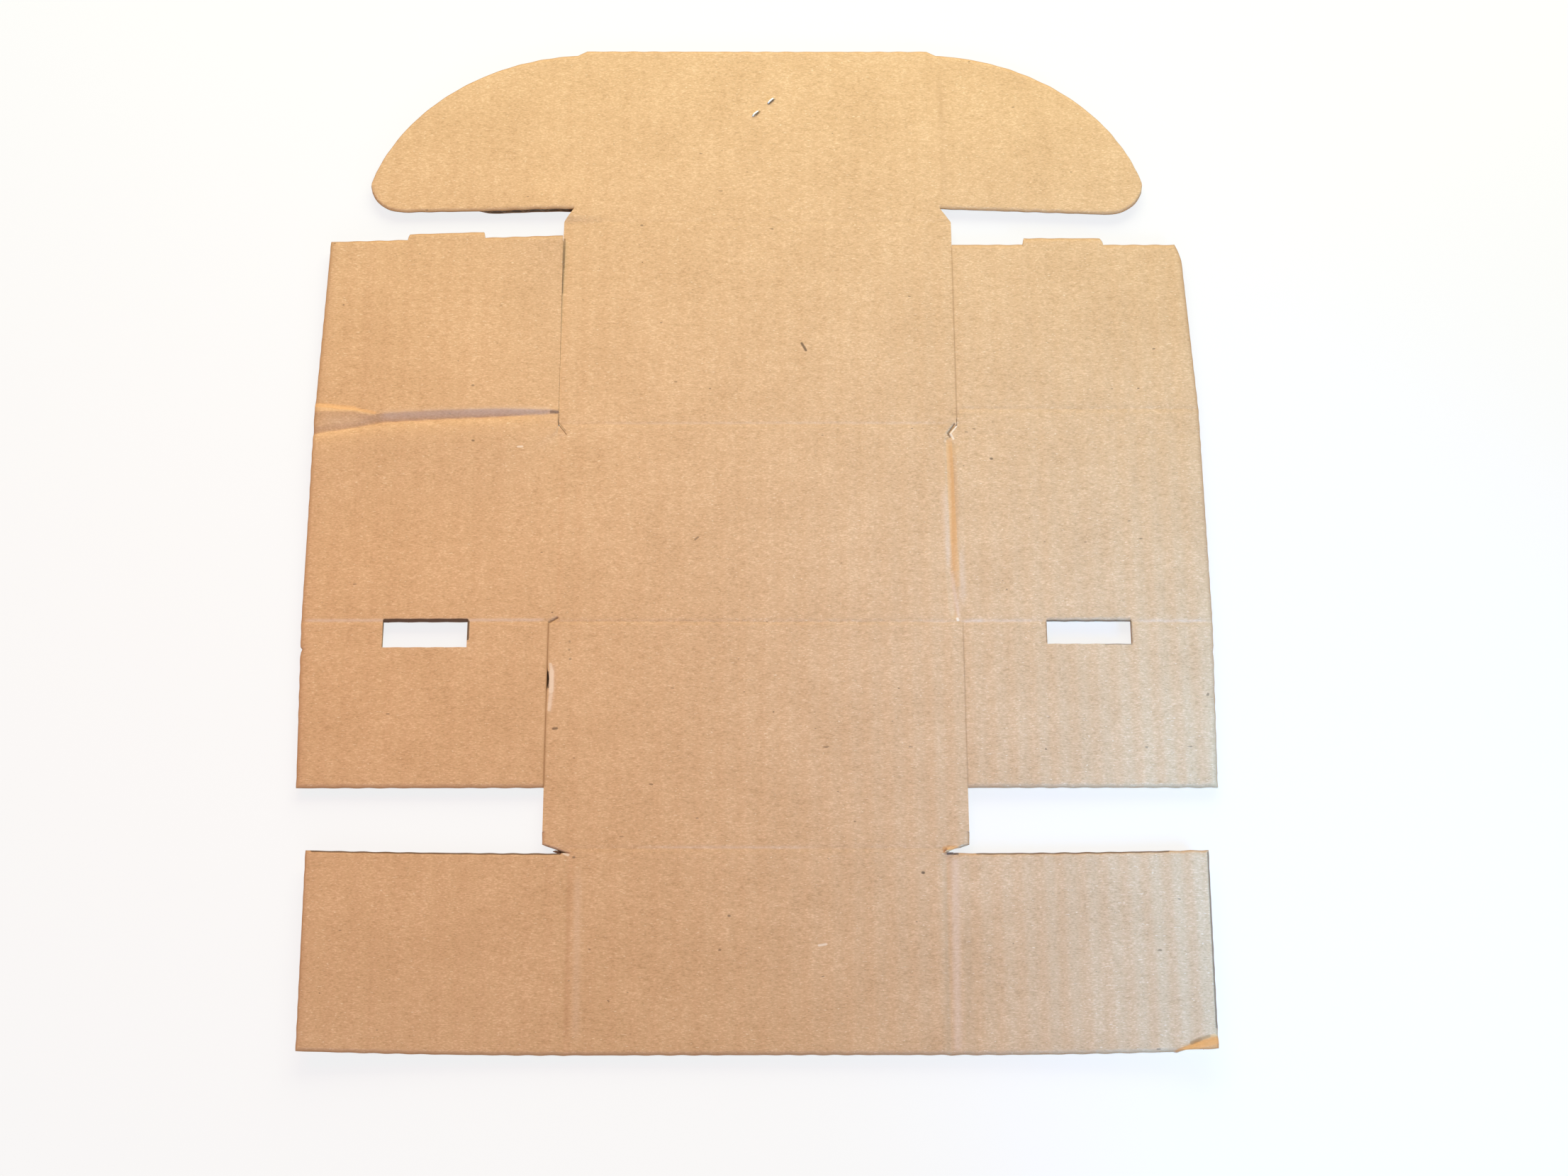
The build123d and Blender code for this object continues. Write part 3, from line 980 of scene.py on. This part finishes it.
@dataclass
class Panels:
    """Common ways to build a sub-assembly's pieces of board and to hang them on the CAD bodies."""

    sheet: Sheet
    finishes: Finishes
    plan: Plan = Plan()

    def lay(self, name: str, patches: Sequence[Patch]) -> Object:
        """Builds one piece of board from its patches.

        Args:
            name: the piece's name.
            patches: the blocks that it is made of.

        Returns:
            The piece, dressed in the board's papers.
        """
        pile = Pile()
        for patch in patches:
            self.sheet.stack(pile, patch)
        piece = pile.make(name, self.finishes.board)
        log.info("%s: %d faces", name, len(piece.data.polygons))
        return piece

    def panel(self, name: str, body: str, node: Optional[str], patches: Sequence[Patch]) -> None:
        """Builds a stiff panel that rides on a body.

        Args:
            name: the piece's name.
            body: the body that it rides on.
            node: the CAD node that it stands for, if there is one.
            patches: the blocks that it is made of.
        """
        piece = self.lay(name, patches)
        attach(piece, body)
        if node:
            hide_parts(node)

    def crease(
        self, name: str, bodies: tuple[str, str], start: Pair, end: Pair, patches: Sequence[Patch]
    ) -> None:
        """Builds the strip of board along a crease and bakes its transform into its mesh.

        Args:
            name: the piece's name.
            bodies: not used.
            start: not used.
            end: not used.
            patches: the blocks of the strip.
        """
        piece = self.lay(name, patches)
        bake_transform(piece)


@dataclass
class Walls(Panels):
    """The back, the two sides, the bottom and the front, which stay in one body."""

    x_back: float = 73.5
    slit_in: float = 2.0
    slit_gap: float = 0.12
    slit_end: float = 0.9
    y_even: float = 28.0
    y_notch: float = -141.0
    y_under: float = -136.0
    under: float = 6.0
    under_end: float = 8.5
    under_end_y: Pair = (-142.3, -142.9)
    dent: float = 0.8
    dent_y: float = -72.0
    dent_width: float = 3.4
    slot_top: float = -46.45
    slot_slant: Pair = (1.6, 2.6)
    half_roll: float = 3.2

    def slit(self, side: Side, y: Array) -> Array:
        """Half width of the back wall at a relief cut: a straight line out to the lid's corner."""
        inner = self.x_back - self.slit_in
        return inner + (side.own(self.plan.lid_cut) - inner) * share(y, self.plan.y_roll, self.plan.y_lid)

    def waist(self, x: Pair, y: Pair) -> Patch:
        """The block between the two relief cuts, from one y line to another."""
        low, high = (partial(self.slit, side) for side in Side)
        return Patch(x, y, x_low=lambda y: self.slit_gap - low(y), x_high=lambda y: high(y) - self.slit_gap)

    def notch(self, side: Side, y: Array) -> Array:
        """Half width of the bottom where it narrows to the front wall: a straight line."""
        edge = side.own(self.plan.bottom_cut)
        return edge - (edge - self.plan.x_front) * share(y, self.y_notch, self.plan.y_corner)

    def undercut(self, side: Side, y: Array) -> Array:
        """How far the papers below stand back along a notch; at the left one's inner end they stand out."""
        deep = self.under * ramp(y, self.y_under, self.y_notch)
        return deep - self.under_end * ramp(y, *self.under_end_y) if side is Side.LEFT else deep

    def dented(self, y: Array) -> Array:
        """The bottom's left cut edge, pushed in where its liner is torn: a bell along the edge."""
        return -self.plan.bottom_cut[0] + self.dent * bell(y, self.dent_y, self.dent_width)

    def build(self) -> None:
        """Builds the back with its sides, the bottom and the front."""
        p = self.plan
        wide, low, high = p.x_side, p.y_bottom + p.half_crease, p.y_roll - p.half_crease
        left, right = (cut + p.gap for cut in p.lid_cut)
        bottom_left, bottom_right = p.bottom_cut
        back = [
            Patch((-wide, wide), (low, self.y_even), cut=(Edge.LEFT, Edge.RIGHT)),
            Patch((-left, wide), (self.y_even, high), cut=(Edge.RIGHT,)),
            Patch((-wide, -left), (self.y_even, p.y_roll - self.half_roll), cut=(Edge.LEFT,), even=True),
            Patch((-left, right), (high, p.y_roll)),
            self.waist((-self.x_back, self.x_back), (p.y_roll, p.y_lid - p.half_crease)),
            Patch((-bottom_left - p.gap, bottom_right + p.gap), (p.y_bottom, low)),
        ]
        bottom = [
            Patch((-bottom_left, bottom_right), (self.y_under, p.y_bottom), x_low=self.dented, torn=True)
        ]
        for side in Side:
            over_slot = Patch(
                p.slot, (self.slot_top, low), cut=(Edge.NEAR,), slant=side.own(self.slot_slant)
            )
            beside_slit = Patch(
                (self.x_back, side.own(p.lid_cut) + p.gap), (p.y_roll, p.y_lid - self.slit_end),
                x_low=lambda y, side=side: self.slit(side, y) + self.slit_gap,
            )
            notched = Patch(
                (0.0, side.own(p.bottom_cut)), (p.y_corner, self.y_under), cut=(Edge.RIGHT,),
                slant=partial(self.undercut, side), x_high=partial(self.notch, side),
            )
            back += [over_slot.on(side), beside_slit.on(side)]
            bottom.append(notched.on(side))
        self.panel("back_and_sides", "walls", "wall_sheet", back)
        self.panel("bottom_wall", "walls", None, bottom)
        edge = p.x_front - p.half_crease
        front = Patch((-edge, edge), (p.y_end, p.y_corner), cut=(Edge.NEAR,))
        self.panel("front_wall", "walls", None, [front])


@dataclass
class LidAndTuck(Panels):
    """The lid, the tuck flap on its free edge and the tuck flap's two ears."""

    y_top: float = 225.0
    x_ear: float = 71.0
    x_top: float = 67.6
    y_ear_low: Pair = (144.9, 145.4)
    y_ear_high: float = 223.0
    ear_reach: float = 79.318
    ear_radius: float = 88.01
    ear_inset: float = 5.6
    ear_droop: Pair = (1.4, 3.4)
    tip_height: Pair = (13.5, 15.5)
    tip_run: Pair = (13.5, 15.0)
    tip_gap: float = 0.02
    under: float = 2.6
    under_less: Pair = (1.5, 0.0)
    under_x: Pair = (-110.0, -103.0)
    bulge: float = 0.14
    bulge_rise: Pair = (108.0, 124.0)
    bulge_fall: Pair = (130.0, 135.9)

    def shoulder(self, side: Side, y: Array) -> Array:
        """Half width of the tuck flap's foot, which narrows on a straight line to the ears."""
        edge = side.own(self.plan.lid_cut)
        return edge - (edge - self.x_ear) * share(y, self.plan.y_tuck, side.own(self.y_ear_low))

    def lid_edge(self, y: Array) -> Array:
        """Left cut edge of the lid, which bulges a little below the raised corner of the left flap."""
        bulge = ramp(y, *self.bulge_rise) * (1.0 - ramp(y, *self.bulge_fall))
        return -self.plan.lid_cut[0] - self.bulge * bulge

    def crown(self, x: Array) -> Array:
        """Top edge: level, then a short slope, then the ear's arc, which is part of a circle.

        Args:
            x: places along X, at the right.

        Returns:
            Y of the edge.
        """
        slope = self.y_top - (self.y_top - self.y_ear_high) * share(x, self.x_top, self.x_ear)
        run = np.clip(x - self.x_ear + self.ear_inset, 0.0, self.ear_radius)
        arc = self.y_ear_high - self.ear_radius + np.sqrt(np.maximum(self.ear_radius**2 - run**2, 0.0))
        return np.where(x > self.x_ear, arc, slope)

    def foot(self, side: Side, x: Array) -> Array:
        """Lower edge of an ear: a line that droops a little, rounded up by a quarter ellipse at the tip.

        Args:
            side: the ear's side.
            x: places along X, turned over to the right.

        Returns:
            Y of the edge.
        """
        reach = np.clip(x - self.x_ear, 0.0, self.ear_reach)
        line = side.own(self.y_ear_low) - side.own(self.ear_droop) * reach / self.ear_reach
        past = np.clip((reach - self.ear_reach) / side.own(self.tip_run) + 1.0, 0.0, 1.0)
        return line + side.own(self.tip_height) * (1.0 - np.sqrt(1.0 - past**2))

    def brow(self, side: Side, x: Array) -> Array:
        """Upper edge of an ear, for x at the right: the crown, but never below the foot."""
        return np.maximum(self.crown(x), self.foot(side, x) + HAIR)

    def undercut(self, side: Side, x: Array) -> Array:
        """How far the papers below stand back under an ear: little near the left crease, where they show."""
        return self.under - side.own(self.under_less) * ramp(x, *self.under_x)

    def ear(self, side: Side) -> None:
        """Builds one ear and its crease.

        Args:
            side: the side of the sheet.
        """
        half, root, name = self.plan.half_crease, side.own(self.y_ear_low), f"tuck_ear_{side.tail}"
        start, tip = self.x_ear + half, self.x_ear + self.ear_reach - self.tip_gap
        curves = [partial(curve, side) for curve in (self.undercut, self.foot, self.brow)]
        rim = dict(zip(("slant", "y_low", "y_high"), curves))
        cut = (Edge.FAR, Edge.NEAR)
        ear = Patch((start, tip), (root - side.own(self.ear_droop), self.y_ear_high), cut=cut, **rim)
        self.panel(f"ear_{side.tail}", name, name, [ear.on(side)])
        strips = [
            Patch(span, (root, self.y_ear_high), cut=edges, **rim).on(side)
            for span, edges in (((self.x_ear - half, self.x_ear), cut[:1]), ((self.x_ear, start), cut))
        ]
        ends = [(side.value * (self.x_ear + step), root) for step in (-half, half)]
        self.crease(f"ear_crease_{side.tail}", ("tuck", name), *ends, strips)

    def build(self) -> None:
        """Builds the lid, the tuck flap, the ears and the creases between them."""
        p = self.plan
        half, edge = p.half_crease, self.x_ear - p.half_crease
        low, high = p.y_tuck - half, p.y_tuck + half
        across = (-p.lid_cut[0], p.lid_cut[1])
        lid = Patch(across, (p.y_lid + half, low), x_low=self.lid_edge, level=True)
        self.panel("lid", "lid", "lid_panel", [lid])
        tuck = [
            Patch((-edge, edge), (high, self.y_top), y_high=lambda x: self.crown(np.abs(x)), cut=(Edge.FAR,))
        ]
        for side in Side:
            corner = (edge, self.x_ear), (high, side.own(self.y_ear_low))
            tuck.append(Patch(*corner, x_high=partial(self.shoulder, side)).on(side))
        self.panel("tuck", "tuck", "tuck_flap", tuck)
        strip = Patch(
            across, (low, high), x_low=lambda y: -self.shoulder(Side.LEFT, y),
            x_high=partial(self.shoulder, Side.RIGHT),
        )
        self.crease("tuck_crease", ("lid", "tuck"), (0.0, low), (0.0, high), [strip])
        for side in Side:
            self.ear(side)

    def hinge(self, walls: Walls) -> None:
        """Builds the crease between the back wall and the lid.

        Args:
            walls: the walls, whose relief cuts shape the strip's lower corners.
        """
        p = self.plan
        low, high = p.y_lid - p.half_crease, p.y_lid + p.half_crease
        strip = walls.waist((-p.lid_cut[0], p.lid_cut[1]), (low, high))
        self.crease("lid_crease", ("walls", "lid"), (0.0, low), (0.0, high), [strip])


@dataclass
class Flap(Panels):
    """A flap of one side, whose blocks are given as they are on the right."""

    side: Side = Side.RIGHT

    def own(self, pair: Pair) -> float:
        """This side's number out of a left and right pair."""
        return self.side.own(pair)

    def block(self, x: Pair, y: Pair, **options: object) -> Patch:
        """A patch of the flap, turned over where the flap is a left one."""
        return Patch(x, y, **options).on(self.side)


@dataclass
class SideFlap(Flap):
    """One rolled edge and the inner flap beyond it, which locks with a tab."""

    y_even: float = 54.0
    y_free: Pair = (128.1, 127.6)
    taper: Pair = (2.0, 3.0)
    corner_in: Pair = (0.0, 2.0)
    corner_run: float = 7.0
    lean: Pair = (1.28, 0.0)
    tab_in: Pair = (105.6, 104.4)
    tab_out: Pair = (136.2, 137.2)
    tab_height: Pair = (2.75, 3.2)
    slant_in: float = 0.35
    slant_out: Pair = (0.7, 1.2)
    half_roll: Pair = (3.2, 2.5)
    half_inner: Pair = (3.5, 2.5)

    def outer(self, y: Array) -> Array:
        """Outer cut edge: straight along the rolled edge, then a taper, with more of it at the corner.

        Args:
            y: places along Y.

        Returns:
            X of the edge, as it is on the right.
        """
        top = self.own(self.y_free)
        taper = np.clip((y - self.plan.y_inner) / (top - self.plan.y_inner), 0.0, RUN_ON)
        corner = share(y, top - self.corner_run, top)
        return self.plan.x_side - self.own(self.taper) * taper - self.own(self.corner_in) * corner

    def crown(self, x: Array) -> Array:
        """Free edge: a line that leans a little, raised by the tab between a steep and a slanted end.

        Args:
            x: places along X, turned over to the right.

        Returns:
            Y of the edge.
        """
        rise = np.clip((x - self.own(self.tab_in)) / self.slant_in, 0.0, 1.0)
        fall = np.clip((self.own(self.tab_out) - x) / self.own(self.slant_out), 0.0, 1.0)
        side = self.plan.x_side
        lean = self.own(self.lean) * (side - x) / (side - self.own(self.plan.lid_cut))
        return self.own(self.y_free) + lean + self.own(self.tab_height) * rise * np.sqrt(fall)

    def build(self) -> None:
        """Builds the rolled edge, the inner flap and their two creases."""
        p, tail = self.plan, self.side.tail
        roll, inner = f"roll_edge_{tail}", f"inner_flap_{tail}"
        across = (self.own(p.lid_cut) + p.gap, p.x_side)
        folds = (p.y_roll, self.own(self.half_roll)), (p.y_inner, self.own(self.half_inner))
        lines = [y + step for y, half in folds for step in (-half, half)] + [self.y_even]
        rim = {"x_high": self.outer, "even": self.side is Side.LEFT}
        blocks = [self.block(across, span, cut=(Edge.RIGHT,), **rim) for span in zip(lines, lines[1:])]
        free = self.block(
            across, (self.y_even, self.own(self.y_free)), cut=(Edge.RIGHT, Edge.FAR),
            x_high=self.outer, y_high=self.crown,
        )
        ends = [(0.0, y) for y in lines]
        self.crease(f"roll_crease_{tail}", ("walls", roll), *ends[:2], blocks[:1])
        self.panel(f"rolled_edge_{tail}", roll, roll, blocks[1:2])
        self.crease(f"inner_crease_{tail}", (roll, inner), *ends[2:4], blocks[2:3])
        self.panel(f"side_flap_{tail}", inner, inner, [blocks[3], free])


@dataclass
class BottomFlap(Flap):
    """One flap below a side wall, with the slot that takes the locking tab."""

    y_foot: float = -117.6
    taper: float = 2.0
    chip: float = 0.9
    chip_y: float = -59.0
    chip_width: float = 0.8
    slot_foot: Pair = (-58.1, -56.7)

    def outer(self, y: Array) -> Array:
        """Outer cut edge: a slight taper with one small chip."""
        taper = self.taper * share(y, self.plan.y_bottom, self.y_foot)
        return self.plan.x_side - taper - self.chip * bell(y, self.chip_y, self.chip_width)

    def build(self) -> None:
        """Builds the flap round its slot, and the two lengths of its crease."""
        p, body = self.plan, f"bottom_flap_{self.side.tail}"
        high, low = p.y_bottom + p.half_crease, p.y_bottom - p.half_crease
        floor, start = self.own(self.slot_foot), self.own(p.bottom_cut) + p.gap
        cut = (Edge.RIGHT,)
        inner, outer = (start, p.slot[0]), (p.slot[1], p.x_side)
        patches, strips = (
            [self.block(inner, y), self.block(outer, y, cut=cut, x_high=self.outer)]
            for y in ((floor, low), (low, high))
        )
        whole = self.block((start, p.x_side), (self.y_foot, floor), cut=(*cut, Edge.NEAR), x_high=self.outer)
        self.panel(f"base_flap_{self.side.tail}", body, body, [*patches, whole])
        self.crease(f"base_crease_{self.side.tail}", ("walls", body), (0.0, high), (0.0, low), strips)


@dataclass
class CornerFlap(Flap):
    """One flap at an end of the front wall."""

    x_end: float = 159.5
    taper: float = 1.0
    dog_ear: Fold = Fold((142.5, -225.0), (158.6, -219.4), 27.0)
    drop: float = 1.5
    drop_x: Pair = (147.0, 158.0)
    under: Pair = (2.4, 4.2)
    under_x: Pair = (140.0, 150.0)

    def outer(self, y: Array) -> Array:
        """Outer cut edge: a slight straight taper towards the front."""
        return self.x_end - self.taper * share(y, self.plan.y_corner, self.plan.y_end)

    def undercut(self, along: Array) -> Array:
        """How far the papers below stand back at the front edge: farther under the turned-up corner."""
        plain, deep = self.under
        return plain + (deep - plain) * ramp(along, *self.under_x)

    def front(self, x: Array) -> Array:
        """Near cut edge of the right flap: straight, and drawn out a little at the turned-up corner."""
        return self.plan.y_end - self.drop * ramp(x, *self.drop_x)

    def build(self) -> None:
        """Builds the flap and its crease; the right one has a turned-up corner."""
        p, body = self.plan, f"corner_flap_{self.side.tail}"
        low, high, span = p.x_front - p.half_crease, p.x_front + p.half_crease, (p.y_end, p.y_corner)
        bent = {"fold": self.dog_ear, "y_low": self.front, "even": True} if self.side is Side.RIGHT else {}
        flap = self.block(
            (high, self.x_end), span, cut=(Edge.RIGHT, Edge.NEAR, Edge.FAR), slant=self.undercut,
            x_high=self.outer, **bent,
        )
        self.panel(f"end_flap_{self.side.tail}", body, body, [flap])
        ends = [(self.side.value * x, 0.0) for x in (low, high)]
        strip = self.block((low, high), span, cut=(Edge.NEAR,))
        self.crease(f"end_crease_{self.side.tail}", ("walls", body), *ends, [strip])


@dataclass
class Staple:
    """A wire staple through the tuck flap, with both legs clinched on the inside face."""

    finishes: Finishes
    centre: Pair = (2.4, 195.95)
    turn: float = 47.0
    crown: float = 12.0
    clinch: float = 3.4
    wire: float = 0.74
    flat: float = 0.84
    point: float = 0.45
    sunk: float = 0.27
    board: float = 4.15
    bend: float = 0.7
    arch: float = 0.25
    dip: float = 0.35
    bend_steps: int = 9
    tip_steps: int = 7
    sides: int = 12

    def path(self) -> Array:
        """Centre line of the wire: tip, leg, crown, leg and tip, with each bend a quarter circle.

        Returns:
            n by 3 places in the staple's own upright plane: along, across and up.
        """
        half, r = self.crown / 2.0, self.bend
        low, high = self.sunk, self.board + self.wire / 2.0
        t = np.linspace(0.0, math.pi / 2.0, self.bend_steps)
        rise = np.linspace(0.0, 1.0, self.tip_steps)[::-1]
        bow = self.arch * rise * (1.0 - rise) - self.dip * rise**3
        tip = np.c_[half - r - (self.clinch - r) * rise, high + bow]
        upper = np.c_[half - r + r * np.sin(t), high - r + r * np.cos(t)]
        lower = np.c_[half - r + r * np.cos(t), low + r - r * np.sin(t)]
        right = np.concatenate((tip[:-1], upper, lower))
        outline = np.concatenate((right, (right * (-1.0, 1.0))[::-1]))
        return np.c_[outline[:, 0], np.zeros(len(outline)), outline[:, 1]]

    def build(self) -> None:
        """Carries a flattened round section along the centre line and closes its two ends."""
        line = self.path()
        tangent = np.gradient(line, axis=0)
        tangent /= np.linalg.norm(tangent, axis=1, keepdims=True)
        across = np.array([0.0, 1.0, 0.0])
        normal = np.cross(tangent, across)
        angle = np.linspace(0.0, 2.0 * math.pi, self.sides, endpoint=False)[None, :, None]
        size = np.full((len(line), 1, 1), 0.5 * self.wire)
        size[[0, -1]] *= self.point
        section = np.cos(angle) * across + self.flat * np.sin(angle) * normal[:, None, :]
        ring = line[:, None, :] + size * section
        turn = math.radians(self.turn)
        x = self.centre[0] + ring[..., 0] * math.cos(turn) - ring[..., 1] * math.sin(turn)
        y = self.centre[1] + ring[..., 0] * math.sin(turn) + ring[..., 1] * math.cos(turn)
        points = np.stack((x, y, ring[..., 2]), axis=-1).reshape(-1, 3) * MM
        index = np.arange(len(points)).reshape(ring.shape[:2])
        after = np.roll(index, -1, axis=1)
        quads = np.stack((index[:-1], after[:-1], after[1:], index[1:]), axis=-1).reshape(-1, 4)
        faces = [*quads.tolist(), index[0][::-1].tolist(), index[-1].tolist()]
        mesh = bpy.data.meshes.new("wire_staple")
        mesh.from_pydata(points.tolist(), [], faces)
        mesh.polygons.foreach_set("use_smooth", np.ones(len(faces), dtype=bool))
        mesh.materials.append(self.finishes.wire)
        piece = stand("wire_staple", mesh)
        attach(piece, "tuck")
        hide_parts("staple")
        log.info("wire_staple: %d faces", len(faces))


def face(thing: Object, place: Sequence[float], axes: tuple[Array, Array, Array]) -> None:
    """Sets an object's place, and its X, Y and Z axes."""
    thing.matrix_world = Matrix.Translation(place) @ Matrix(axes).transposed().to_4x4()


@dataclass(frozen=True)
class Lamp:
    """A soft square lamp: its place and aim, its side in metres, power, colour and spread in degrees."""

    name: str
    place: Triple
    aim: Triple
    side: float
    power: float
    colour: Triple
    spread: float = 180.0

    def build(self) -> None:
        """Hangs the lamp so that its local -Z points at its aim."""
        data = bpy.data.lights.new(self.name, "AREA")
        data.shape = "SQUARE"
        data.size = self.side
        data.energy = self.power
        data.color = self.colour
        data.spread = math.radians(self.spread)
        thing = stand(self.name, data)
        thing.visible_camera = False
        back = np.array(self.place) - np.array(self.aim)
        back = back / np.linalg.norm(back)
        side = np.cross((0.0, 1.0, 0.0) if abs(back[1]) < STEEP else (0.0, 0.0, 1.0), back)
        side = side / np.linalg.norm(side)
        face(thing, self.place, (side, np.cross(back, side), back))


@dataclass
class Studio:
    """White floor, soft lamps and the camera that looks down the sheet as the photograph does."""

    focal_px: float = 6459.4
    width_px: float = 2212.0
    sensor: float = 36.0
    nearest: float = 0.01
    azimuth: float = 0.0110
    elevation: float = 0.9817
    roll: float = 0.0089
    target: Pair = (9.889, -29.539)
    distance: float = 1686.2
    sky: Colour = (0.77, 0.85, 1.0, 1.0)
    sky_strength: float = 0.13
    white: Colour = (1.0, 1.0, 1.0, 1.0)
    floor_colour: Colour = (0.9, 0.9, 0.9, 1.0)
    floor_glow: float = 0.82
    floor_half: float = 4.0
    floor_height: float = -0.25 * MM
    lamps: tuple[Lamp, ...] = (
        Lamp("key", (0.09, 0.70, 0.50), (0.0, 0.05, 0.0), 0.9, 11.5, (1.0, 1.0, 0.717)),
        Lamp("fill", (-0.1, -1.1, 0.45), (0.0, 0.0, 0.0), 0.8, 6.2, (0.742, 0.839, 1.0)),
        Lamp("window", (0.423, -0.454, 0.16), (0.276, -0.228, 0.0), 0.24, 0.82, (0.105, 0.437, 1.0), 40.0),
        Lamp("warm", (-0.371, 0.082, 0.538), (-0.119, -0.136, 0.0), 0.5, 0.257, (1.0, 0.05, 0.0), 72.7),
    )

    def camera(self) -> None:
        """Sets the camera from its azimuth, elevation and roll, at a distance from what it looks at."""
        ca, sa = math.cos(self.azimuth), math.sin(self.azimuth)
        ce, se = math.cos(self.elevation), math.sin(self.elevation)
        ahead = np.array((sa * ce, ca * ce, -se))
        right = np.array((ca, -sa, 0.0))
        up = np.cross(right, ahead)
        x = math.cos(self.roll) * right + math.sin(self.roll) * up
        y = math.cos(self.roll) * up - math.sin(self.roll) * right
        data = bpy.data.cameras.new("camera")
        data.sensor_fit = "HORIZONTAL"
        data.sensor_width = self.sensor
        data.lens = self.sensor * self.focal_px / self.width_px
        data.clip_start = self.nearest
        thing = stand("camera", data)
        face(thing, (np.array((*self.target, 0.0)) - self.distance * ahead) * MM, (x, y, -ahead))
        bpy.context.scene.camera = thing

    def seen(self, n: Nodes) -> Socket:
        """Tells what the camera sees from what only lights the sheet.

        Args:
            n: the nodes of the world or the floor.

        Returns:
            1 for rays that come straight from the camera or through gloss and glass, 0 for the rest.
        """
        rays = n.add("LightPath").outputs
        first = n.math("MAXIMUM", rays["Is Camera Ray"], rays["Is Glossy Ray"])
        return n.math("MAXIMUM", first, rays["Is Transmission Ray"])

    def world(self) -> None:
        """Cool soft light all round, behind a white that only the camera and gloss see."""
        n = Nodes(bpy.data.worlds.new("studio"))
        soft = n.tree.nodes["Background"]
        n.set(soft, {"Color": self.sky, "Strength": self.sky_strength})
        white = n.add("Background", {"Color": self.white})
        mix = n.add("MixShader", {0: self.seen(n), 1: soft.outputs[0], 2: white.outputs[0]})
        n.set(n.tree.nodes["World Output"], {"Surface": mix.outputs[0]})
        bpy.context.scene.world = n.owner

    def floor(self) -> None:
        """Lays a white floor that keeps a part of the sheet's shadow."""
        n = Nodes(bpy.data.materials.new("white_floor"))
        n.tree.nodes.remove(n.tree.nodes["Principled BSDF"])
        matt = n.add("BsdfDiffuse", {"Color": self.floor_colour})
        glow = n.add("Emission")
        amount = n.math("MULTIPLY", self.seen(n), self.floor_glow)
        mix = n.add("MixShader", {0: amount, 1: matt.outputs[0], 2: glow.outputs[0]})
        n.set(n.tree.nodes["Material Output"], {"Surface": mix.outputs[0]})
        half, z = self.floor_half, self.floor_height
        corners = [(-half, -half, z), (half, -half, z), (half, half, z), (-half, half, z)]
        mesh = bpy.data.meshes.new("floor")
        mesh.from_pydata(corners, [], [(0, 1, 2, 3)])
        mesh.materials.append(n.owner)
        thing = stand("floor", mesh)
        thing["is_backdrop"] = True

    def build(self) -> None:
        """Sets the view, the floor, the world, the lamps and the camera."""
        bpy.context.scene.view_settings.view_transform = "Standard"
        self.floor()
        self.world()
        for lamp in self.lamps:
            lamp.build()
        self.camera()


def plain(corners: Sequence[Sequence[float]]) -> list[list[float]]:
    """Two corners of a box as plain lists of numbers."""
    return [[float(v) for v in corner] for corner in corners]


def main() -> None:
    """Builds every piece in order."""
    logging.basicConfig(level=logging.INFO, format="%(name)s %(message)s")
    cad_box = plain(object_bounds())
    sheet = Sheet()
    papers = (
        KraftFinish("kraft_inside", lie=sheet.lie),
        KraftFinish(
            "kraft_flutes", dark=(0.34, 0.21, 0.115, 1.0), middle=(0.46, 0.30, 0.175, 1.0),
            pale=(0.56, 0.39, 0.245, 1.0),
        ),
        KraftFinish(
            "kraft_outside", dark=(0.46, 0.285, 0.155, 1.0), middle=(0.59, 0.39, 0.23, 1.0),
            pale=(0.72, 0.51, 0.325, 1.0),
        ),
    )
    finishes = Finishes(tuple(paper.build() for paper in papers), WireFinish().build())
    walls = Walls(sheet, finishes)
    walls.build()
    lid = LidAndTuck(sheet, finishes)
    lid.build()
    lid.hinge(walls)
    for side in Side:
        for kind in (SideFlap, BottomFlap, CornerFlap):
            kind(sheet, finishes, side=side).build()
    Staple(finishes).build()
    Studio().build()
    {"cad": cad_box, "visual": plain(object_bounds())}


if __name__ == "__main__":
    main()
